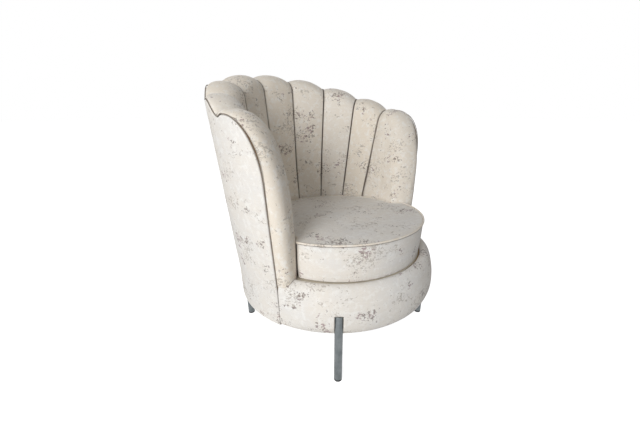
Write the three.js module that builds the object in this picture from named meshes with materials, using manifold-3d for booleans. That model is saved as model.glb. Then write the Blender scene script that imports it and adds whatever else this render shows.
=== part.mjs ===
// Scallop back tub chair on four steel tube legs. Millimetres, +Z up, the open front faces -Y.
// Angles run round the drum's axis in degrees, from the middle of the back (+Y) towards +X.
import * as THREE from "three";
import { mergeVertices } from "three/addons/utils/BufferGeometryUtils.js";
import Module from "manifold-3d";

const wasm = await Module();
wasm.setup();

// Overall sizes.
const overallHeight = 897;
const drumRadius = 350;
const drumBottom = 172;
const drumTop = 308;

// Fits shared by every pair of neighbours.
const restGap = 0.3;
const seamGap = 0.4;
const fitGap = 0.6;

// Steel tube legs let into the drum's side.
const legAngles = { rear_right: 45, front_right: 135, front_left: 225, rear_left: 315 };
const legDiameter = 25;
const legWall = 1.5;
const legCap = 2;
const legProud = 6.5;
const legLetInShare = 0.5;
const glideHeight = 6;
const glidePlug = 14;
const glideChamfer = 1.2;

// Plywood drum frame.
const hoopWall = 13;
const ringWidth = 78;
const ringThickness = 18;
const ringSegments = 60;
const blockDepth = 46;
const blockHalfAngle = 7;
const boltDiameter = 8;
const boltHeadDiameter = 16;
const boltHead = 4;
const boltNutDiameter = 12;
const boltNut = 5;
const boltClearance = 0.6;
const boltRiseShare = 0.26;

// Seat deck: two layers of straps and a lining.
const strapWidth = 56;
const strapThickness = 1.8;
const strapShares = [-0.56, 0, 0.56];
const strapLandingShare = 0.24;
const liningThickness = 2;
const dustCoverThickness = 1.2;

// Seat cushion with piping on its upper edge: round, pushed forward, and held in by the padding behind.
const cushionGap = 2;
const cushionForward = 20;
const cushionFootForward = 12;
const cushionBlend = 6;
const cushionThickness = 121;
const cushionCrown = 12;
const cushionRearDrop = 16;
const cushionWaist = 3.5;
const cushionCorner = 14;
const pipingRadius = 3;

// Back shell: a moulded board with a padded outer panel.
const backThickness = 86;
const faceLeanShare = 0.065;
const flareShare = 0.0745;
const flareStart = 190;
const flareEnd = 310;
const panelThickness = 6;
const boardThickness = 11.6;
const weltRadius = 2.2;
const weltSetback = 3.4;

// Rim: scallops on a plane that slopes down to the front, a little narrower towards the ends.
const channelCount = 9;
const topPitch = 25.48;
const crowdingShare = 0.00644;
const footShare = 0.837;
const rimFall = 124;
const scallopDip = 18;
const scallopPower = 2.2;
const crestInset = 42;
const crestInner = 46;
const crestOuter = 15;
const seamDepth = 13;
const seamDepthSeat = 3;

// Front rolls of the two end channels, as angles from the middle of the back.
const rollStartAngle = 88;
const rollEndAngle = 111.5;
const rollShoulder = 480;
const rollPower = 2.2;
const rollOuter = 40;
const rollSwell = 5;
const rollSwellAngle = 14;
const weltEndAngle = 105;
const weltShoulder = 600;
const weltPower = 2.15;

// Padded border round the front of the drum, as shares of the drum's radius and side height.
const borderWidth = 45.5;
const borderBulge = 5;
const borderCrown = 15;
const borderProfileShares = [
  [0.0, 0.02], [0.3, -0.02], [0.62, 0.0], [0.84, 0.08], [0.96, 0.19], [1.0, 0.31], [0.96, 0.48],
  [0.86, 0.64], [0.65, 0.81], [0.37, 0.97], [0.05, 1.06], [-0.38, 1.11], [-0.78, 1.09], [-1.1, 1.05],
];

const rad = Math.PI / 180;
const half = 0.5;
const placeSteps = 14;
const fullTurn = 360;
const innerRadius = drumRadius - backThickness;
const deckRadius = drumRadius - borderWidth;
const cushionRadius = deckRadius - cushionGap - cushionFootForward;
const seatDeckTop = drumTop + 3 * restGap + 2 * strapThickness + liningThickness;
const cushionBottom = seatDeckTop + restGap;
const hoopOuter = drumRadius + legProud - legDiameter - restGap;
const hoopInner = hoopOuter - hoopWall;
const ringOuter = hoopInner - restGap;
const ringInner = ringOuter - ringWidth;
const legRadius = legDiameter * half;
const legCentre = drumRadius + legProud - legRadius;
const legTop = drumBottom + (drumTop - drumBottom) * legLetInShare;
const boltHeight = drumBottom + (drumTop - drumBottom) * boltRiseShare;

const colours = {
  fabric: [0xe6ddcb, 0.9, 0],
  shade: [0xd9cfbb, 0.9, 0],
  steel: [0x8b8f94, 0.35, 0.9],
  zinc: [0xb4b7ba, 0.4, 0.85],
  plastic: [0x26272a, 0.6, 0],
  plywood: [0xc59f6c, 0.7, 0],
  beech: [0xb98a58, 0.65, 0],
  webbing: [0x8d7b5e, 0.9, 0],
  cloth: [0x2c2c2d, 0.95, 0],
};

/** A point at an angle (degrees), radius and height. */
function polar(angle, r, z) {
  return [r * Math.sin(angle * rad), r * Math.cos(angle * rad), z];
}

/** Two unit vectors that span the plane a closed loop lies in. */
function planeOf(loop) {
  const n = new THREE.Vector3();
  loop.forEach((p, i) => {
    const q = loop[(i + 1) % loop.length];
    n.x += (p[1] - q[1]) * (p[2] + q[2]);
    n.y += (p[2] - q[2]) * (p[0] + q[0]);
    n.z += (p[0] - q[0]) * (p[1] + q[1]);
  });
  n.normalize();
  const side = Math.abs(n.z) < Math.SQRT1_2 ? new THREE.Vector3(0, 0, 1) : new THREE.Vector3(1, 0, 0);
  const u = new THREE.Vector3().crossVectors(side, n).normalize();
  return [u, new THREE.Vector3().crossVectors(n, u)];
}

/** Joins equal closed loops of points into one closed surface, capped at both ends unless it closes. */
function loft(loops, closes = false) {
  const points = loops.flat();
  const count = loops[0].length;
  const faces = [];
  const spans = closes ? loops.length : loops.length - 1;
  for (let i = 0; i < spans; i += 1) {
    const here = i * count;
    const next = ((i + 1) % loops.length) * count;
    for (let j = 0; j < count; j += 1) {
      const k = (j + 1) % count;
      faces.push([here + j, here + k, next + k], [here + j, next + k, next + j]);
    }
  }
  if (!closes) {
    [0, loops.length - 1].forEach((end) => {
      const loop = loops[end];
      const [u, v] = planeOf(loop);
      const flat = loop.map((p) => {
        const q = new THREE.Vector3(...p);
        return new THREE.Vector2(q.dot(u), q.dot(v));
      });
      const turned = end === 0 ? 1 : 2;
      THREE.ShapeUtils.triangulateShape(flat, []).forEach((t) => {
        const ring = t.map((i) => end * count + i);
        faces.push(turned === 1 ? [ring[2], ring[1], ring[0]] : ring);
      });
    });
  }
  const geometry = new THREE.BufferGeometry();
  geometry.setAttribute("position", new THREE.Float32BufferAttribute(points.flat(), 3));
  geometry.setIndex(faces.flat());
  return geometry;
}

/** The manifold solid of a closed geometry, turned to face out. */
function solid(geometry) {
  const bare = new THREE.BufferGeometry();
  bare.setAttribute("position", geometry.getAttribute("position").clone());
  if (geometry.index) bare.setIndex(geometry.index.clone());
  const merged = mergeVertices(bare, 1e-3);
  const position = merged.getAttribute("position");
  const index = Array.from(merged.index.array);
  const kept = [];
  let volume = 0;
  const [a, b, c] = [new THREE.Vector3(), new THREE.Vector3(), new THREE.Vector3()];
  for (let i = 0; i < index.length; i += 3) {
    const [p, q, r] = index.slice(i, i + 3);
    if (p !== q && q !== r && r !== p) {
      kept.push([p, q, r]);
      a.fromBufferAttribute(position, p);
      b.fromBufferAttribute(position, q);
      c.fromBufferAttribute(position, r);
      volume += a.dot(b.cross(c));
    }
  }
  const facing = kept.map(([p, q, r]) => (volume < 0 ? [p, r, q] : [p, q, r]));
  return new wasm.Manifold(new wasm.Mesh({
    numProp: 3,
    vertProperties: new Float32Array(position.array),
    triVerts: new Uint32Array(facing.flat()),
  }));
}

/** The three.js geometry of a manifold solid. */
function geometryOf(made) {
  const mesh = made.getMesh();
  const geometry = new THREE.BufferGeometry();
  geometry.setAttribute("position", new THREE.BufferAttribute(new Float32Array(mesh.vertProperties), 3));
  geometry.setIndex(new THREE.BufferAttribute(new Uint32Array(mesh.triVerts), 1));
  return geometry;
}

/** Evenly spaced values from low to high, both kept. */
function span(low, high, steps) {
  return Array.from({ length: steps + 1 }, (_, i) => low + ((high - low) * i) / steps);
}

/** A profile of [radius, height] pairs turned right round the drum's axis. */
function turned(profile, segments) {
  const angles = span(0, fullTurn, segments).slice(0, segments);
  return loft(angles.map((angle) => profile.map(([r, z]) => polar(angle, r, z))), true);
}

/** A profile of [radius, height] pairs swept between the given angles. */
function sector(profile, angles) {
  return loft(angles.map((angle) => profile.map(([r, z]) => polar(angle, r, z))));
}

/** A box-shaped ring profile. */
function ringProfile(inner, outer, low, high) {
  return [[inner, low], [outer, low], [outer, high], [inner, high]];
}

/** A solid of revolution on its own upright axis; its profile starts and ends on that axis. */
function lathed(profile, segments) {
  return new THREE.LatheGeometry(profile.map(([r, z]) => new THREE.Vector2(r, z)), segments)
    .rotateX(Math.PI * half);
}

/** Outer radius of the back shell at a height: upright at the drum, then an even flare. */
function shellRadius(z) {
  const run = flareEnd - flareStart;
  if (z <= flareStart) return drumRadius;
  if (z < flareEnd) return drumRadius + (flareShare * (z - flareStart) ** 2) / (2 * run);
  return drumRadius + flareShare * (z - flareEnd + run * half);
}

/** Height of the sloping rim plane at an angle. */
function rimPlane(angle) {
  return overallHeight - rimFall * (1 - Math.cos(angle * rad));
}

/** Angle at the rim of a place counted in channels: whole numbers are middles, halves are seams. */
function rimAngle(place) {
  return topPitch * place * (1 - crowdingShare * place ** 2);
}

/** Angle of a place at a height: closer to the middle of the back at the foot. */
function angleOf(place, z) {
  const top = rimAngle(place);
  const rise = (z - drumTop) / (rimPlane(top) - drumTop);
  return top * (footShare + (1 - footShare) * rise);
}

/** Share of one channel's width at the rim, from -1 at one seam to 1 at the other. */
function channelShare(angle) {
  let place = angle / topPitch;
  for (let i = 0; i < placeSteps; i += 1) place = angle / topPitch + crowdingShare * place ** 3;
  return (place - Math.round(place)) / half;
}

const lastSeam = channelCount * half - 1;

/** Top of the roll above an angle, without the crest's rounding. */
function crestHeight(angle) {
  const a = Math.abs(angle);
  const cap = rimPlane(Math.min(a, rollStartAngle));
  if (a > rollStartAngle) {
    const share = Math.min(1, (a - rollStartAngle) / (rollEndAngle - rollStartAngle));
    return rollShoulder + (cap - rollShoulder) * (1 - share ** rollPower) ** (1 / rollPower);
  }
  const edge = rimAngle(lastSeam);
  const share = a > edge ? (rollStartAngle - a) / (rollStartAngle - edge) : Math.abs(channelShare(a));
  return cap - scallopDip * share ** scallopPower;
}

/** Height of the welt line, where the outer panel ends, above an angle. */
function weltHeight(angle) {
  const a = Math.abs(angle);
  const cap = rimPlane(Math.min(a, rollStartAngle)) - crestOuter;
  if (a > rollStartAngle) {
    const share = Math.min(1, (a - rollStartAngle) / (weltEndAngle - rollStartAngle));
    return weltShoulder + (cap - weltShoulder) * (1 - share ** weltPower) ** (1 / weltPower);
  }
  const edge = rimAngle(lastSeam);
  const wave = a > edge ? (rollStartAngle - a) / (rollStartAngle - edge) : channelShare(a);
  return cap - scallopDip * half * (1 - Math.cos(Math.PI * wave));
}

/** How far a seam lies behind the fullest part of the padding at a height. */
function seamDepthAt(z) {
  const seat = cushionBottom + cushionThickness;
  const rise = Math.min(1, Math.max(0, (z - seat) / cushionThickness));
  return seamDepthSeat + (seamDepth - seamDepthSeat) * rise * rise * (3 - 2 * rise);
}

/** A share eased at both ends. */
function eased(share) {
  const s = Math.min(1, Math.max(0, share));
  return s * s * (3 - 2 * s);
}

/** Radius of the padding's inner face in the middle of a channel, at an angle and height. */
function faceRadius(angle, z) {
  const seat = cushionBottom + cushionThickness;
  const swell = rollSwell * eased((Math.abs(angle) - rollStartAngle) / rollSwellAngle);
  return innerRadius - swell + faceLeanShare * Math.max(0, z - seat);
}

/** Room left to the front edge of a roll at an angle. */
function rollRoom(angle) {
  return (rollEndAngle - Math.abs(angle)) * rad * drumRadius;
}

/** Share of the padding's thickness that stands at a distance from a rounded edge. */
function roundShare(near, reach) {
  return Math.cos(Math.asin(1 - Math.min(1, near / reach)));
}

/** Radius of the padding's inner side at an angle, at seat height. */
function seatRoom(angle) {
  if (Math.abs(angle) >= rollEndAngle) return drumRadius;
  const ridge = shellRadius(crestHeight(angle)) - crestInset;
  return ridge + (faceRadius(angle, drumTop) - ridge) * roundShare(rollRoom(angle), crestInner);
}

/** Reach of a round outline pushed forward by a distance, held inside the padding. */
function seatReach(angle, radius, forward) {
  const turn = angle * rad;
  const round = Math.sqrt(radius ** 2 - (forward * Math.sin(turn)) ** 2) - forward * Math.cos(turn);
  const room = seatRoom(angle > fullTurn * half ? angle - fullTurn : angle) - cushionGap;
  return (round + room - Math.hypot(round - room, cushionBlend)) * half;
}

const faceShares = [0, 0.2, 0.36, 0.52, 0.68, 0.84];
const crestSteps = 4;
const outerSteps = 3;
const backShares = [0.66, 0.33, 0];

/**
 * One upright section of the back's padding as [angle, radius, height] points.
 * `bend` is 0 in the middle of a channel and 1 at its seam; `near` is the room left to the front edge.
 */
function paddingSection(topAngle, angleAt, bend, near) {
  const foot = drumTop + restGap;
  const crest = crestHeight(topAngle);
  const outerAt = (z) => shellRadius(z) - weltSetback;
  const ridge = outerAt(crest) - crestInset + weltSetback;
  const s = Math.max(0, Math.abs(topAngle) - rollStartAngle) / (rollEndAngle - rollStartAngle);
  const width = rollRoom(rollStartAngle);
  const cap = rimPlane(rollStartAngle);
  // Height at which this section is `depth` inside the roll's outline.
  const heightAt = (depth) => {
    if (s === 0) return crest - depth;
    const share = Math.min(1, (s * width) / Math.max(width - depth, s * width));
    const rise = (1 - share ** rollPower) ** (1 / rollPower);
    return rollShoulder + (cap - depth - rollShoulder) * rise;
  };
  const arc = (reach, inward) => {
    const low = Math.asin(1 - Math.min(1, near / reach));
    const steps = inward ? crestSteps : outerSteps;
    return span(low, Math.PI * half, steps).map((a) => [Math.cos(a), heightAt(reach * (1 - Math.sin(a)))]);
  };
  const faceAt = (z) => faceRadius(topAngle, z) + seamDepthAt(z) * bend;
  const inner = arc(crestInner, true);
  const outer = arc(crestOuter + (rollOuter - crestOuter) * eased(s), false);
  const [lowShare, lowHeight] = inner[0];
  const points = faceShares.map((share) => {
    const z = foot + (lowHeight - foot) * share;
    return [ridge + (faceAt(z) - ridge) * lowShare, z];
  });
  inner.forEach(([share, z]) => points.push([ridge + (faceAt(z) - ridge) * share, z]));
  outer.slice(0, outerSteps).reverse().forEach(([share, z]) => {
    points.push([ridge + (outerAt(z) - ridge) * share, z]);
  });
  const [outShare, outHeight] = outer[0];
  backShares.forEach((share) => {
    const z = foot + (outHeight - foot) * share;
    points.push([ridge + (outerAt(z) - ridge) * outShare, z]);
  });
  return points.map(([r, z]) => polar(angleAt(z), r, z));
}

const bulgeShares = [-1, -0.94, -0.78, -0.42, 0, 0.42, 0.78, 0.94, 1];
const bendPower = 2.4;
const bendRoot = 1.8;

/** How far the padding has turned back to its seam, from 0 in the middle of a channel to 1. */
function seamBend(across) {
  return 1 - (1 - Math.abs(across) ** bendPower) ** (1 / bendRoot);
}

/** Padding of one middle channel. */
function middleChannel(k) {
  const trim = (seamGap * half) / innerRadius / rad;
  return loft(bulgeShares.map((u) => {
    const edge = Math.abs(u) === 1 ? Math.sign(u) * trim : 0;
    const place = k + u * half;
    return paddingSection(rimAngle(place), (z) => angleOf(place, z) - edge, seamBend(u), crestInner);
  }));
}

const endShares = [-1, -0.9, -0.68, -0.34, 0];
const rollShares = [0.2, 0.4, 0.58, 0.7, 0.78, 0.85, 0.91, 0.955, 0.985, 0.997];

/** Padding of an end channel, with the roll round its front edge; side is 1 or -1. */
function endChannel(side) {
  const trim = (seamGap * half) / innerRadius / rad;
  const first = endShares.map((u) => {
    const share = 1 + u;
    const top = rimAngle(lastSeam) + (rollStartAngle - rimAngle(lastSeam)) * share;
    const edge = u === -1 ? trim : 0;
    const angleAt = (z) => {
      const low = angleOf(lastSeam, z);
      return side * (low + (rollStartAngle - low) * share + edge);
    };
    return paddingSection(side * top, angleAt, seamBend(u), crestInner);
  });
  const second = rollShares.map((share) => {
    const angle = rollStartAngle + (rollEndAngle - rollStartAngle) * share;
    return paddingSection(side * angle, () => side * angle, 0, rollRoom(angle));
  });
  return loft([...first, ...second]);
}

const scallopShares = [-0.6, -0.2, 0.2, 0.6, 1];
const shoulderShares = [0.3, 0.55, 0.75, 0.88, 0.96, 0.99];

/** Angles at which the shell pieces are cut into facets, shared so their gaps stay even. */
function shellAngles(grow) {
  const last = weltEndAngle + grow;
  const list = [];
  for (let i = 0; i < lastSeam; i += 1) {
    scallopShares.forEach((u) => list.push(rimAngle(i + u * half)));
  }
  span(rimAngle(lastSeam), rollStartAngle, 2).slice(1).forEach((a) => list.push(a));
  shoulderShares.forEach((s) => list.push(rollStartAngle + (weltEndAngle - rollStartAngle) * s));
  list.push(last);
  const right = list.filter((a) => a > 0);
  return [...right.map((a) => -a).reverse(), ...right];
}

/** A shell that follows the back between two depths below its outer surface. */
function backShell(depthOut, depthIn, low, lift, grow) {
  const levels = [flareStart, (flareStart + flareEnd) * half, flareEnd];
  const loops = shellAngles(grow).map((angle) => {
    const high = weltHeight(Math.max(0, Math.abs(angle) - grow)) + lift;
    const heights = [low, ...levels, (flareEnd + high) * half, high];
    const face = (depth) => heights.map((z) => polar(angle, shellRadius(z) - depth, z));
    return [...face(depthOut), ...face(depthIn).reverse()];
  });
  return loft(loops);
}

const root = new THREE.Group();
root.name = "scallop_back_chair";

/** Adds a named mesh with its own material. */
function add(name, geometry, finish) {
  const [color, roughness, metalness] = colours[finish];
  const mesh = new THREE.Mesh(geometry, new THREE.MeshStandardMaterial({ color, roughness, metalness }));
  mesh.name = name;
  root.add(mesh);
  return mesh;
}

/** An upright cylinder standing at an angle and radius of the drum. */
function uprightAt(angle, centre, r, low, high, segments) {
  const [x, y] = polar(angle, centre, 0);
  return new THREE.CylinderGeometry(r, r, high - low, segments)
    .rotateX(Math.PI * half)
    .rotateZ(-angle * rad)
    .translate(x, y, (low + high) * half);
}

/** A turned part laid along the drum's radius at an angle and height. */
function radialAt(profile, angle, z, segments) {
  return lathed(profile, segments).rotateX(-Math.PI * half).rotateZ(-angle * rad).translate(0, 0, z);
}

const legSegments = 20;
const boltSegments = 12;
const legList = Object.entries(legAngles);
const notch = (angle) => solid(uprightAt(
  angle, legCentre, legRadius + fitGap, drumBottom - legDiameter, legTop + fitGap, legSegments,
));
const boltBore = boltDiameter * half + boltClearance;
const boltHole = (angle, low, high) => solid(radialAt(
  [[0, low], [boltBore, low], [boltBore, high], [0, high]], angle, boltHeight, boltSegments,
));
const cutNotches = (made) => legList.reduce(
  (left, [, angle]) => left.subtract(notch(angle)).subtract(boltHole(angle, hoopInner, legCentre)), made,
);

// Legs, glides, corner blocks and bolts.
legList.forEach(([place, angle]) => {
  const bore = legRadius - legWall;
  const [x, y] = polar(angle, legCentre, 0);
  const tube = lathed([
    [0, legTop - legCap], [bore, legTop - legCap], [bore, glideHeight + restGap],
    [legRadius, glideHeight + restGap], [legRadius, legTop], [0, legTop],
  ], legSegments).rotateZ(-angle * rad).translate(x, y, 0);
  add(`leg_${place}`, geometryOf(solid(tube).subtract(boltHole(angle, hoopOuter, legCentre))), "steel");

  const plug = bore - restGap;
  const glide = lathed([
    [0, 0], [legRadius - glideChamfer, 0], [legRadius, glideChamfer], [legRadius, glideHeight],
    [plug, glideHeight], [plug, glideHeight + glidePlug], [0, glideHeight + glidePlug],
  ], legSegments).rotateZ(-angle * rad).translate(x, y, 0);
  add(`glide_${place}`, geometryOf(solid(glide)), "plastic");

  const blockOuter = ringOuter * Math.cos(Math.PI / ringSegments) - restGap;
  const blockInner = blockOuter - blockDepth;
  const low = drumBottom + ringThickness + restGap;
  const high = drumTop - ringThickness - restGap;
  const wedge = sector(
    ringProfile(blockInner, blockOuter, low, high),
    span(angle - blockHalfAngle, angle + blockHalfAngle, 2),
  );
  const drilled = solid(wedge).subtract(boltHole(angle, blockInner - boltHead, hoopOuter));
  add(`block_${place}`, geometryOf(drilled), "beech");

  const start = blockInner * Math.cos(blockHalfAngle * rad) - restGap;
  const nutRadius = boltNutDiameter * half;
  const tubeInside = legCentre - Math.sqrt(bore ** 2 - nutRadius ** 2) + restGap;
  const bolt = radialAt([
    [0, start - boltHead], [boltHeadDiameter * half, start - boltHead], [boltHeadDiameter * half, start],
    [boltDiameter * half, start], [boltDiameter * half, tubeInside], [nutRadius, tubeInside],
    [nutRadius, tubeInside + boltNut], [0, tubeInside + boltNut],
  ], angle, boltHeight, boltSegments);
  add(`bolt_${place}`, geometryOf(solid(bolt)), "zinc");
});

// Plywood drum: hoop and two rings, with a cloth under them.
const hoop = legList.reduce(
  (left, [, angle]) => left.subtract(boltHole(angle, ringOuter - restGap, legCentre)),
  solid(turned(ringProfile(hoopInner, hoopOuter, drumBottom, drumTop), ringSegments)),
);
add("base_hoop", geometryOf(hoop), "plywood");
add("base_ring_lower", turned(
  ringProfile(ringInner, ringOuter, drumBottom, drumBottom + ringThickness), ringSegments,
), "plywood");
add("base_ring_upper", turned(
  ringProfile(ringInner, ringOuter, drumTop - ringThickness, drumTop), ringSegments,
), "plywood");
add("dust_cover", lathed([
  [0, drumBottom - restGap - dustCoverThickness], [hoopInner, drumBottom - restGap - dustCoverThickness],
  [hoopInner, drumBottom - restGap], [0, drumBottom - restGap],
], ringSegments), "cloth");

// Seat deck: straps both ways, then a lining.
const landing = ringInner + ringWidth * strapLandingShare;
strapShares.forEach((share, i) => {
  const offset = share * ringInner;
  const reach = Math.sqrt(landing ** 2 - (Math.abs(offset) + strapWidth * half) ** 2);
  const lower = drumTop + restGap + strapThickness * half;
  const upper = lower + strapThickness + restGap;
  add(`strap_cross_${i + 1}`, new THREE.BoxGeometry(2 * reach, strapWidth, strapThickness)
    .translate(0, offset, lower), "webbing");
  add(`strap_long_${i + 1}`, new THREE.BoxGeometry(strapWidth, 2 * reach, strapThickness)
    .translate(offset, 0, upper), "webbing");
});
const noseReach = 12;
const nosePast = 2.5;
const seatAngles = [
  ...span(noseReach - rollEndAngle, rollEndAngle - noseReach, 22),
  ...span(rollEndAngle - noseReach, rollEndAngle + nosePast, 9).slice(1),
  ...span(rollEndAngle + nosePast, fullTurn - rollEndAngle - nosePast, 18).slice(1),
  ...span(fullTurn - rollEndAngle - nosePast, fullTurn - rollEndAngle + noseReach, 9).slice(1, 9),
];
const liningBottom = seatDeckTop - liningThickness;
add("deck_lining", loft(seatAngles.map((angle) => {
  const reach = seatReach(angle, deckRadius - cushionWaist, 0);
  return [[0, liningBottom], [reach, liningBottom], [reach, seatDeckTop], [0, seatDeckTop]]
    .map(([r, z]) => polar(angle, r, z));
}), true), "shade");

// Padded border round the open front of the drum.
const borderInner = hoopOuter + fitGap;
const fitAngle = fitGap / drumRadius / rad;
const borderSteps = 28;
const borderAngles = span(weltEndAngle + fitAngle, fullTurn - weltEndAngle - fitAngle, borderSteps);

/** Section of the front border, grown by a clearance. */
function borderSection(grow) {
  const wide = drumRadius + borderBulge - borderInner;
  const tall = drumTop - drumBottom;
  const outline = borderProfileShares.map(([across, up]) => [
    borderInner + wide * across + grow * Math.sign(across),
    drumBottom + tall * up + grow * Math.sign(up - half),
  ]);
  return [
    [borderInner - grow, drumBottom + grow * -1], ...outline.slice(1),
    [deckRadius - grow, drumTop + borderCrown * half + grow],
    [deckRadius - grow, drumTop + restGap - grow], [borderInner - grow, drumTop + restGap - grow],
  ];
}
const border = cutNotches(solid(sector(borderSection(0), borderAngles)));
add("base_border", geometryOf(border), "fabric");

// Back shell: moulded board inside, padded panel outside.
const boardFront = panelThickness + restGap;
const board = cutNotches(solid(backShell(boardFront, boardFront + boardThickness, drumBottom, 0, 0)));
add("back_board", geometryOf(board), "plywood");
const panel = cutNotches(solid(backShell(0, panelThickness, drumBottom - restGap, 0, 0)));
add("outer_panel", geometryOf(panel), "fabric");

// Channels of padding, cut back to the shell and to the border.
const shellRoom = solid(backShell(
  -legProud, panelThickness + 2 * restGap + boardThickness, drumBottom, restGap, fitAngle,
));
const borderRoom = solid(sector(
  borderSection(fitGap),
  span(weltEndAngle, fullTurn - weltEndAngle, borderSteps),
));
const k0 = (channelCount - 1) * half;
for (let k = -k0; k <= k0; k += 1) {
  const atEnd = Math.abs(k) === k0;
  const envelope = solid(atEnd ? endChannel(Math.sign(k)) : middleChannel(k));
  const cut = envelope.subtract(shellRoom);
  add(`channel_${k + k0 + 1}`, geometryOf(atEnd ? cut.subtract(borderRoom) : cut), "fabric");
}

// Welt along the outer panel's edge.
const weltLift = 2 * fitGap + weltRadius;
const weltRest = restGap + weltRadius;
const weltAngles = shellAngles(0).filter((a) => Math.abs(a) < weltEndAngle);
const weltPoint = (angle, z) => {
  return new THREE.Vector3(...polar(angle, shellRadius(z) - weltSetback + weltRest, z));
};
const weltSide = (side) => span(drumTop + borderCrown + 4 * weltRadius, weltShoulder, 6)
  .map((z) => weltPoint(side * (weltEndAngle + weltLift / drumRadius / rad), z));
const overTop = weltAngles.map((angle, i) => {
  const before = weltAngles[Math.max(0, i - 1)];
  const after = weltAngles[Math.min(weltAngles.length - 1, i + 1)];
  const along = new THREE.Vector2(
    (after - before) * rad * shellRadius(overallHeight), weltHeight(after) - weltHeight(before),
  ).normalize();
  const z = weltHeight(angle) + along.x * weltLift;
  return weltPoint(angle - (along.y * weltLift) / shellRadius(z) / rad, z);
});
const weltPath = new THREE.CatmullRomCurve3([...weltSide(-1), ...overTop, ...weltSide(1).reverse()]);
const weltSection = new THREE.Shape(span(0, fullTurn, 5).slice(0, 5).map((a) => new THREE.Vector2(
  weltRadius * Math.cos(a * rad), weltRadius * Math.sin(a * rad),
)));
add("back_welt", geometryOf(solid(new THREE.ExtrudeGeometry(weltSection, {
  steps: 150, extrudePath: weltPath, curveSegments: 1, bevelEnabled: false,
}))), "shade");

// Seat cushion and its piping.
const pipingHeight = cushionBottom + cushionThickness;
const pipingCentre = cushionRadius - pipingRadius;
const cushionEdge = cushionWaist + cushionCorner;
const slopeStep = 0.5;

/** One upright section of the cushion, from [radius, height] points of a round one. */
function cushionSection(angle, profile) {
  return profile.map(([r, z]) => {
    const up = Math.max(0, (z - cushionBottom) / cushionThickness);
    const forward = cushionFootForward + (cushionForward - cushionFootForward) * Math.min(1, up);
    const reachAt = (turn) => seatReach(turn, cushionRadius, forward);
    const reach = reachAt(angle);
    const slope = (reachAt(angle + slopeStep) - reachAt(angle - slopeStep)) / (2 * slopeStep * rad * reach);
    const inset = Math.min(cushionEdge, cushionRadius - r);
    const out = ((reach - inset * Math.hypot(1, slope)) * r) / (cushionRadius - inset);
    const [x, y] = polar(angle, out, z);
    return [x, y, z - cushionRearDrop * up * (y / cushionRadius + 1) * half];
  });
}

const groove = pipingRadius + restGap;
const cushionCornerPoints = span(-Math.PI * half, 0, 3).map((a) => [
  cushionRadius - cushionEdge + cushionCorner * Math.cos(a),
  cushionBottom + cushionCorner + cushionCorner * Math.sin(a),
]);
const cushionSide = [0.35, 0.6, 0.82].map((share) => [
  cushionRadius - cushionWaist + cushionWaist * Math.sin(Math.PI * share) * half,
  cushionBottom + cushionThickness * share,
]);
const cushionGroove = span(-Math.PI * half, -Math.PI, 3).map((a) => [
  pipingCentre + groove * Math.cos(a), pipingHeight + groove * Math.sin(a),
]);
const cushionTop = [0.96, 0.88, 0.72, 0.5, 0.25].map((share) => [
  (pipingCentre - groove) * share,
  pipingHeight + cushionCrown * (1 - share ** 4),
]);
const cushionProfile = [
  [0, cushionBottom], ...cushionCornerPoints, ...cushionSide, ...cushionGroove, ...cushionTop,
  [0, pipingHeight + cushionCrown],
];
add("seat_cushion", geometryOf(solid(
  loft(seatAngles.map((angle) => cushionSection(angle, cushionProfile)), true),
)), "fabric");
const pipingProfile = span(0, fullTurn, 6).slice(0, 6).map((a) => [
  pipingCentre + pipingRadius * Math.cos(a * rad), pipingHeight + pipingRadius * Math.sin(a * rad),
]);
add("seat_piping", geometryOf(solid(
  loft(seatAngles.map((angle) => cushionSection(angle, pipingProfile)), true),
)), "fabric");

// The origin goes to the middle of the chair's footprint box, on the floor.
const box = new THREE.Box3().setFromObject(root);
const middle = box.getCenter(new THREE.Vector3());
root.children.forEach((mesh) => mesh.geometry.translate(-middle.x, -middle.y, -box.min.z));

export default root;
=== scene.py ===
"""Looks of the scallop back chair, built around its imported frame.

A round tub chair: a padded drum on four steel tubes, a loose round cushion, and a flared back of nine
padded channels whose scalloped rim slopes down to the front. Lengths are in metres; angles run round the
drum's upright axis in degrees, from the middle of the back (+Y) towards +X.
"""
import logging
import math
from dataclasses import dataclass, field
from enum import Enum
from typing import Callable

import bpy
import numpy as np
from mathutils import Matrix, Vector, noise


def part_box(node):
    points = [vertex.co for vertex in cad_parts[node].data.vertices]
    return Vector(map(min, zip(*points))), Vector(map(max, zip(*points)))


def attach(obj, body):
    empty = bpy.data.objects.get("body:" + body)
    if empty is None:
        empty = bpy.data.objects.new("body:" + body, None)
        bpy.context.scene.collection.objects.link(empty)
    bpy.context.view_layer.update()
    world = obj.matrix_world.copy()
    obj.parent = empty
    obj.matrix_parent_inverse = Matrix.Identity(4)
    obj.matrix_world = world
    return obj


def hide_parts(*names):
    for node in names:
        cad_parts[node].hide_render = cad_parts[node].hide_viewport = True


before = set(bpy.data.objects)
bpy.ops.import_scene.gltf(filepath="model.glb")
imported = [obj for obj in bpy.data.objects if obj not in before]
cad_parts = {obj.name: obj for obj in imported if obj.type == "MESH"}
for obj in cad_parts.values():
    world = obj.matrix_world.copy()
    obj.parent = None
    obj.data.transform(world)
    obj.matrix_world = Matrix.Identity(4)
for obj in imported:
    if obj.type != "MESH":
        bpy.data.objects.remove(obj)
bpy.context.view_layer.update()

LOG = logging.getLogger("scallop_chair")
Colour = tuple[float, float, float]
Point = tuple[float, float, float]
Profile = list[Point]
Piece, Mesh, Face = bpy.types.Object, bpy.types.Mesh, bpy.types.MeshPolygon
Material, Tree, Node, Socket = (
    bpy.types.Material, bpy.types.NodeTree, bpy.types.Node, bpy.types.NodeSocket,
)
CLOTH_ANGLE = 60.0
METAL_ANGLE = 35.0
LINING_INSET = 0.0035
DUST_INSET = 0.0012
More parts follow.
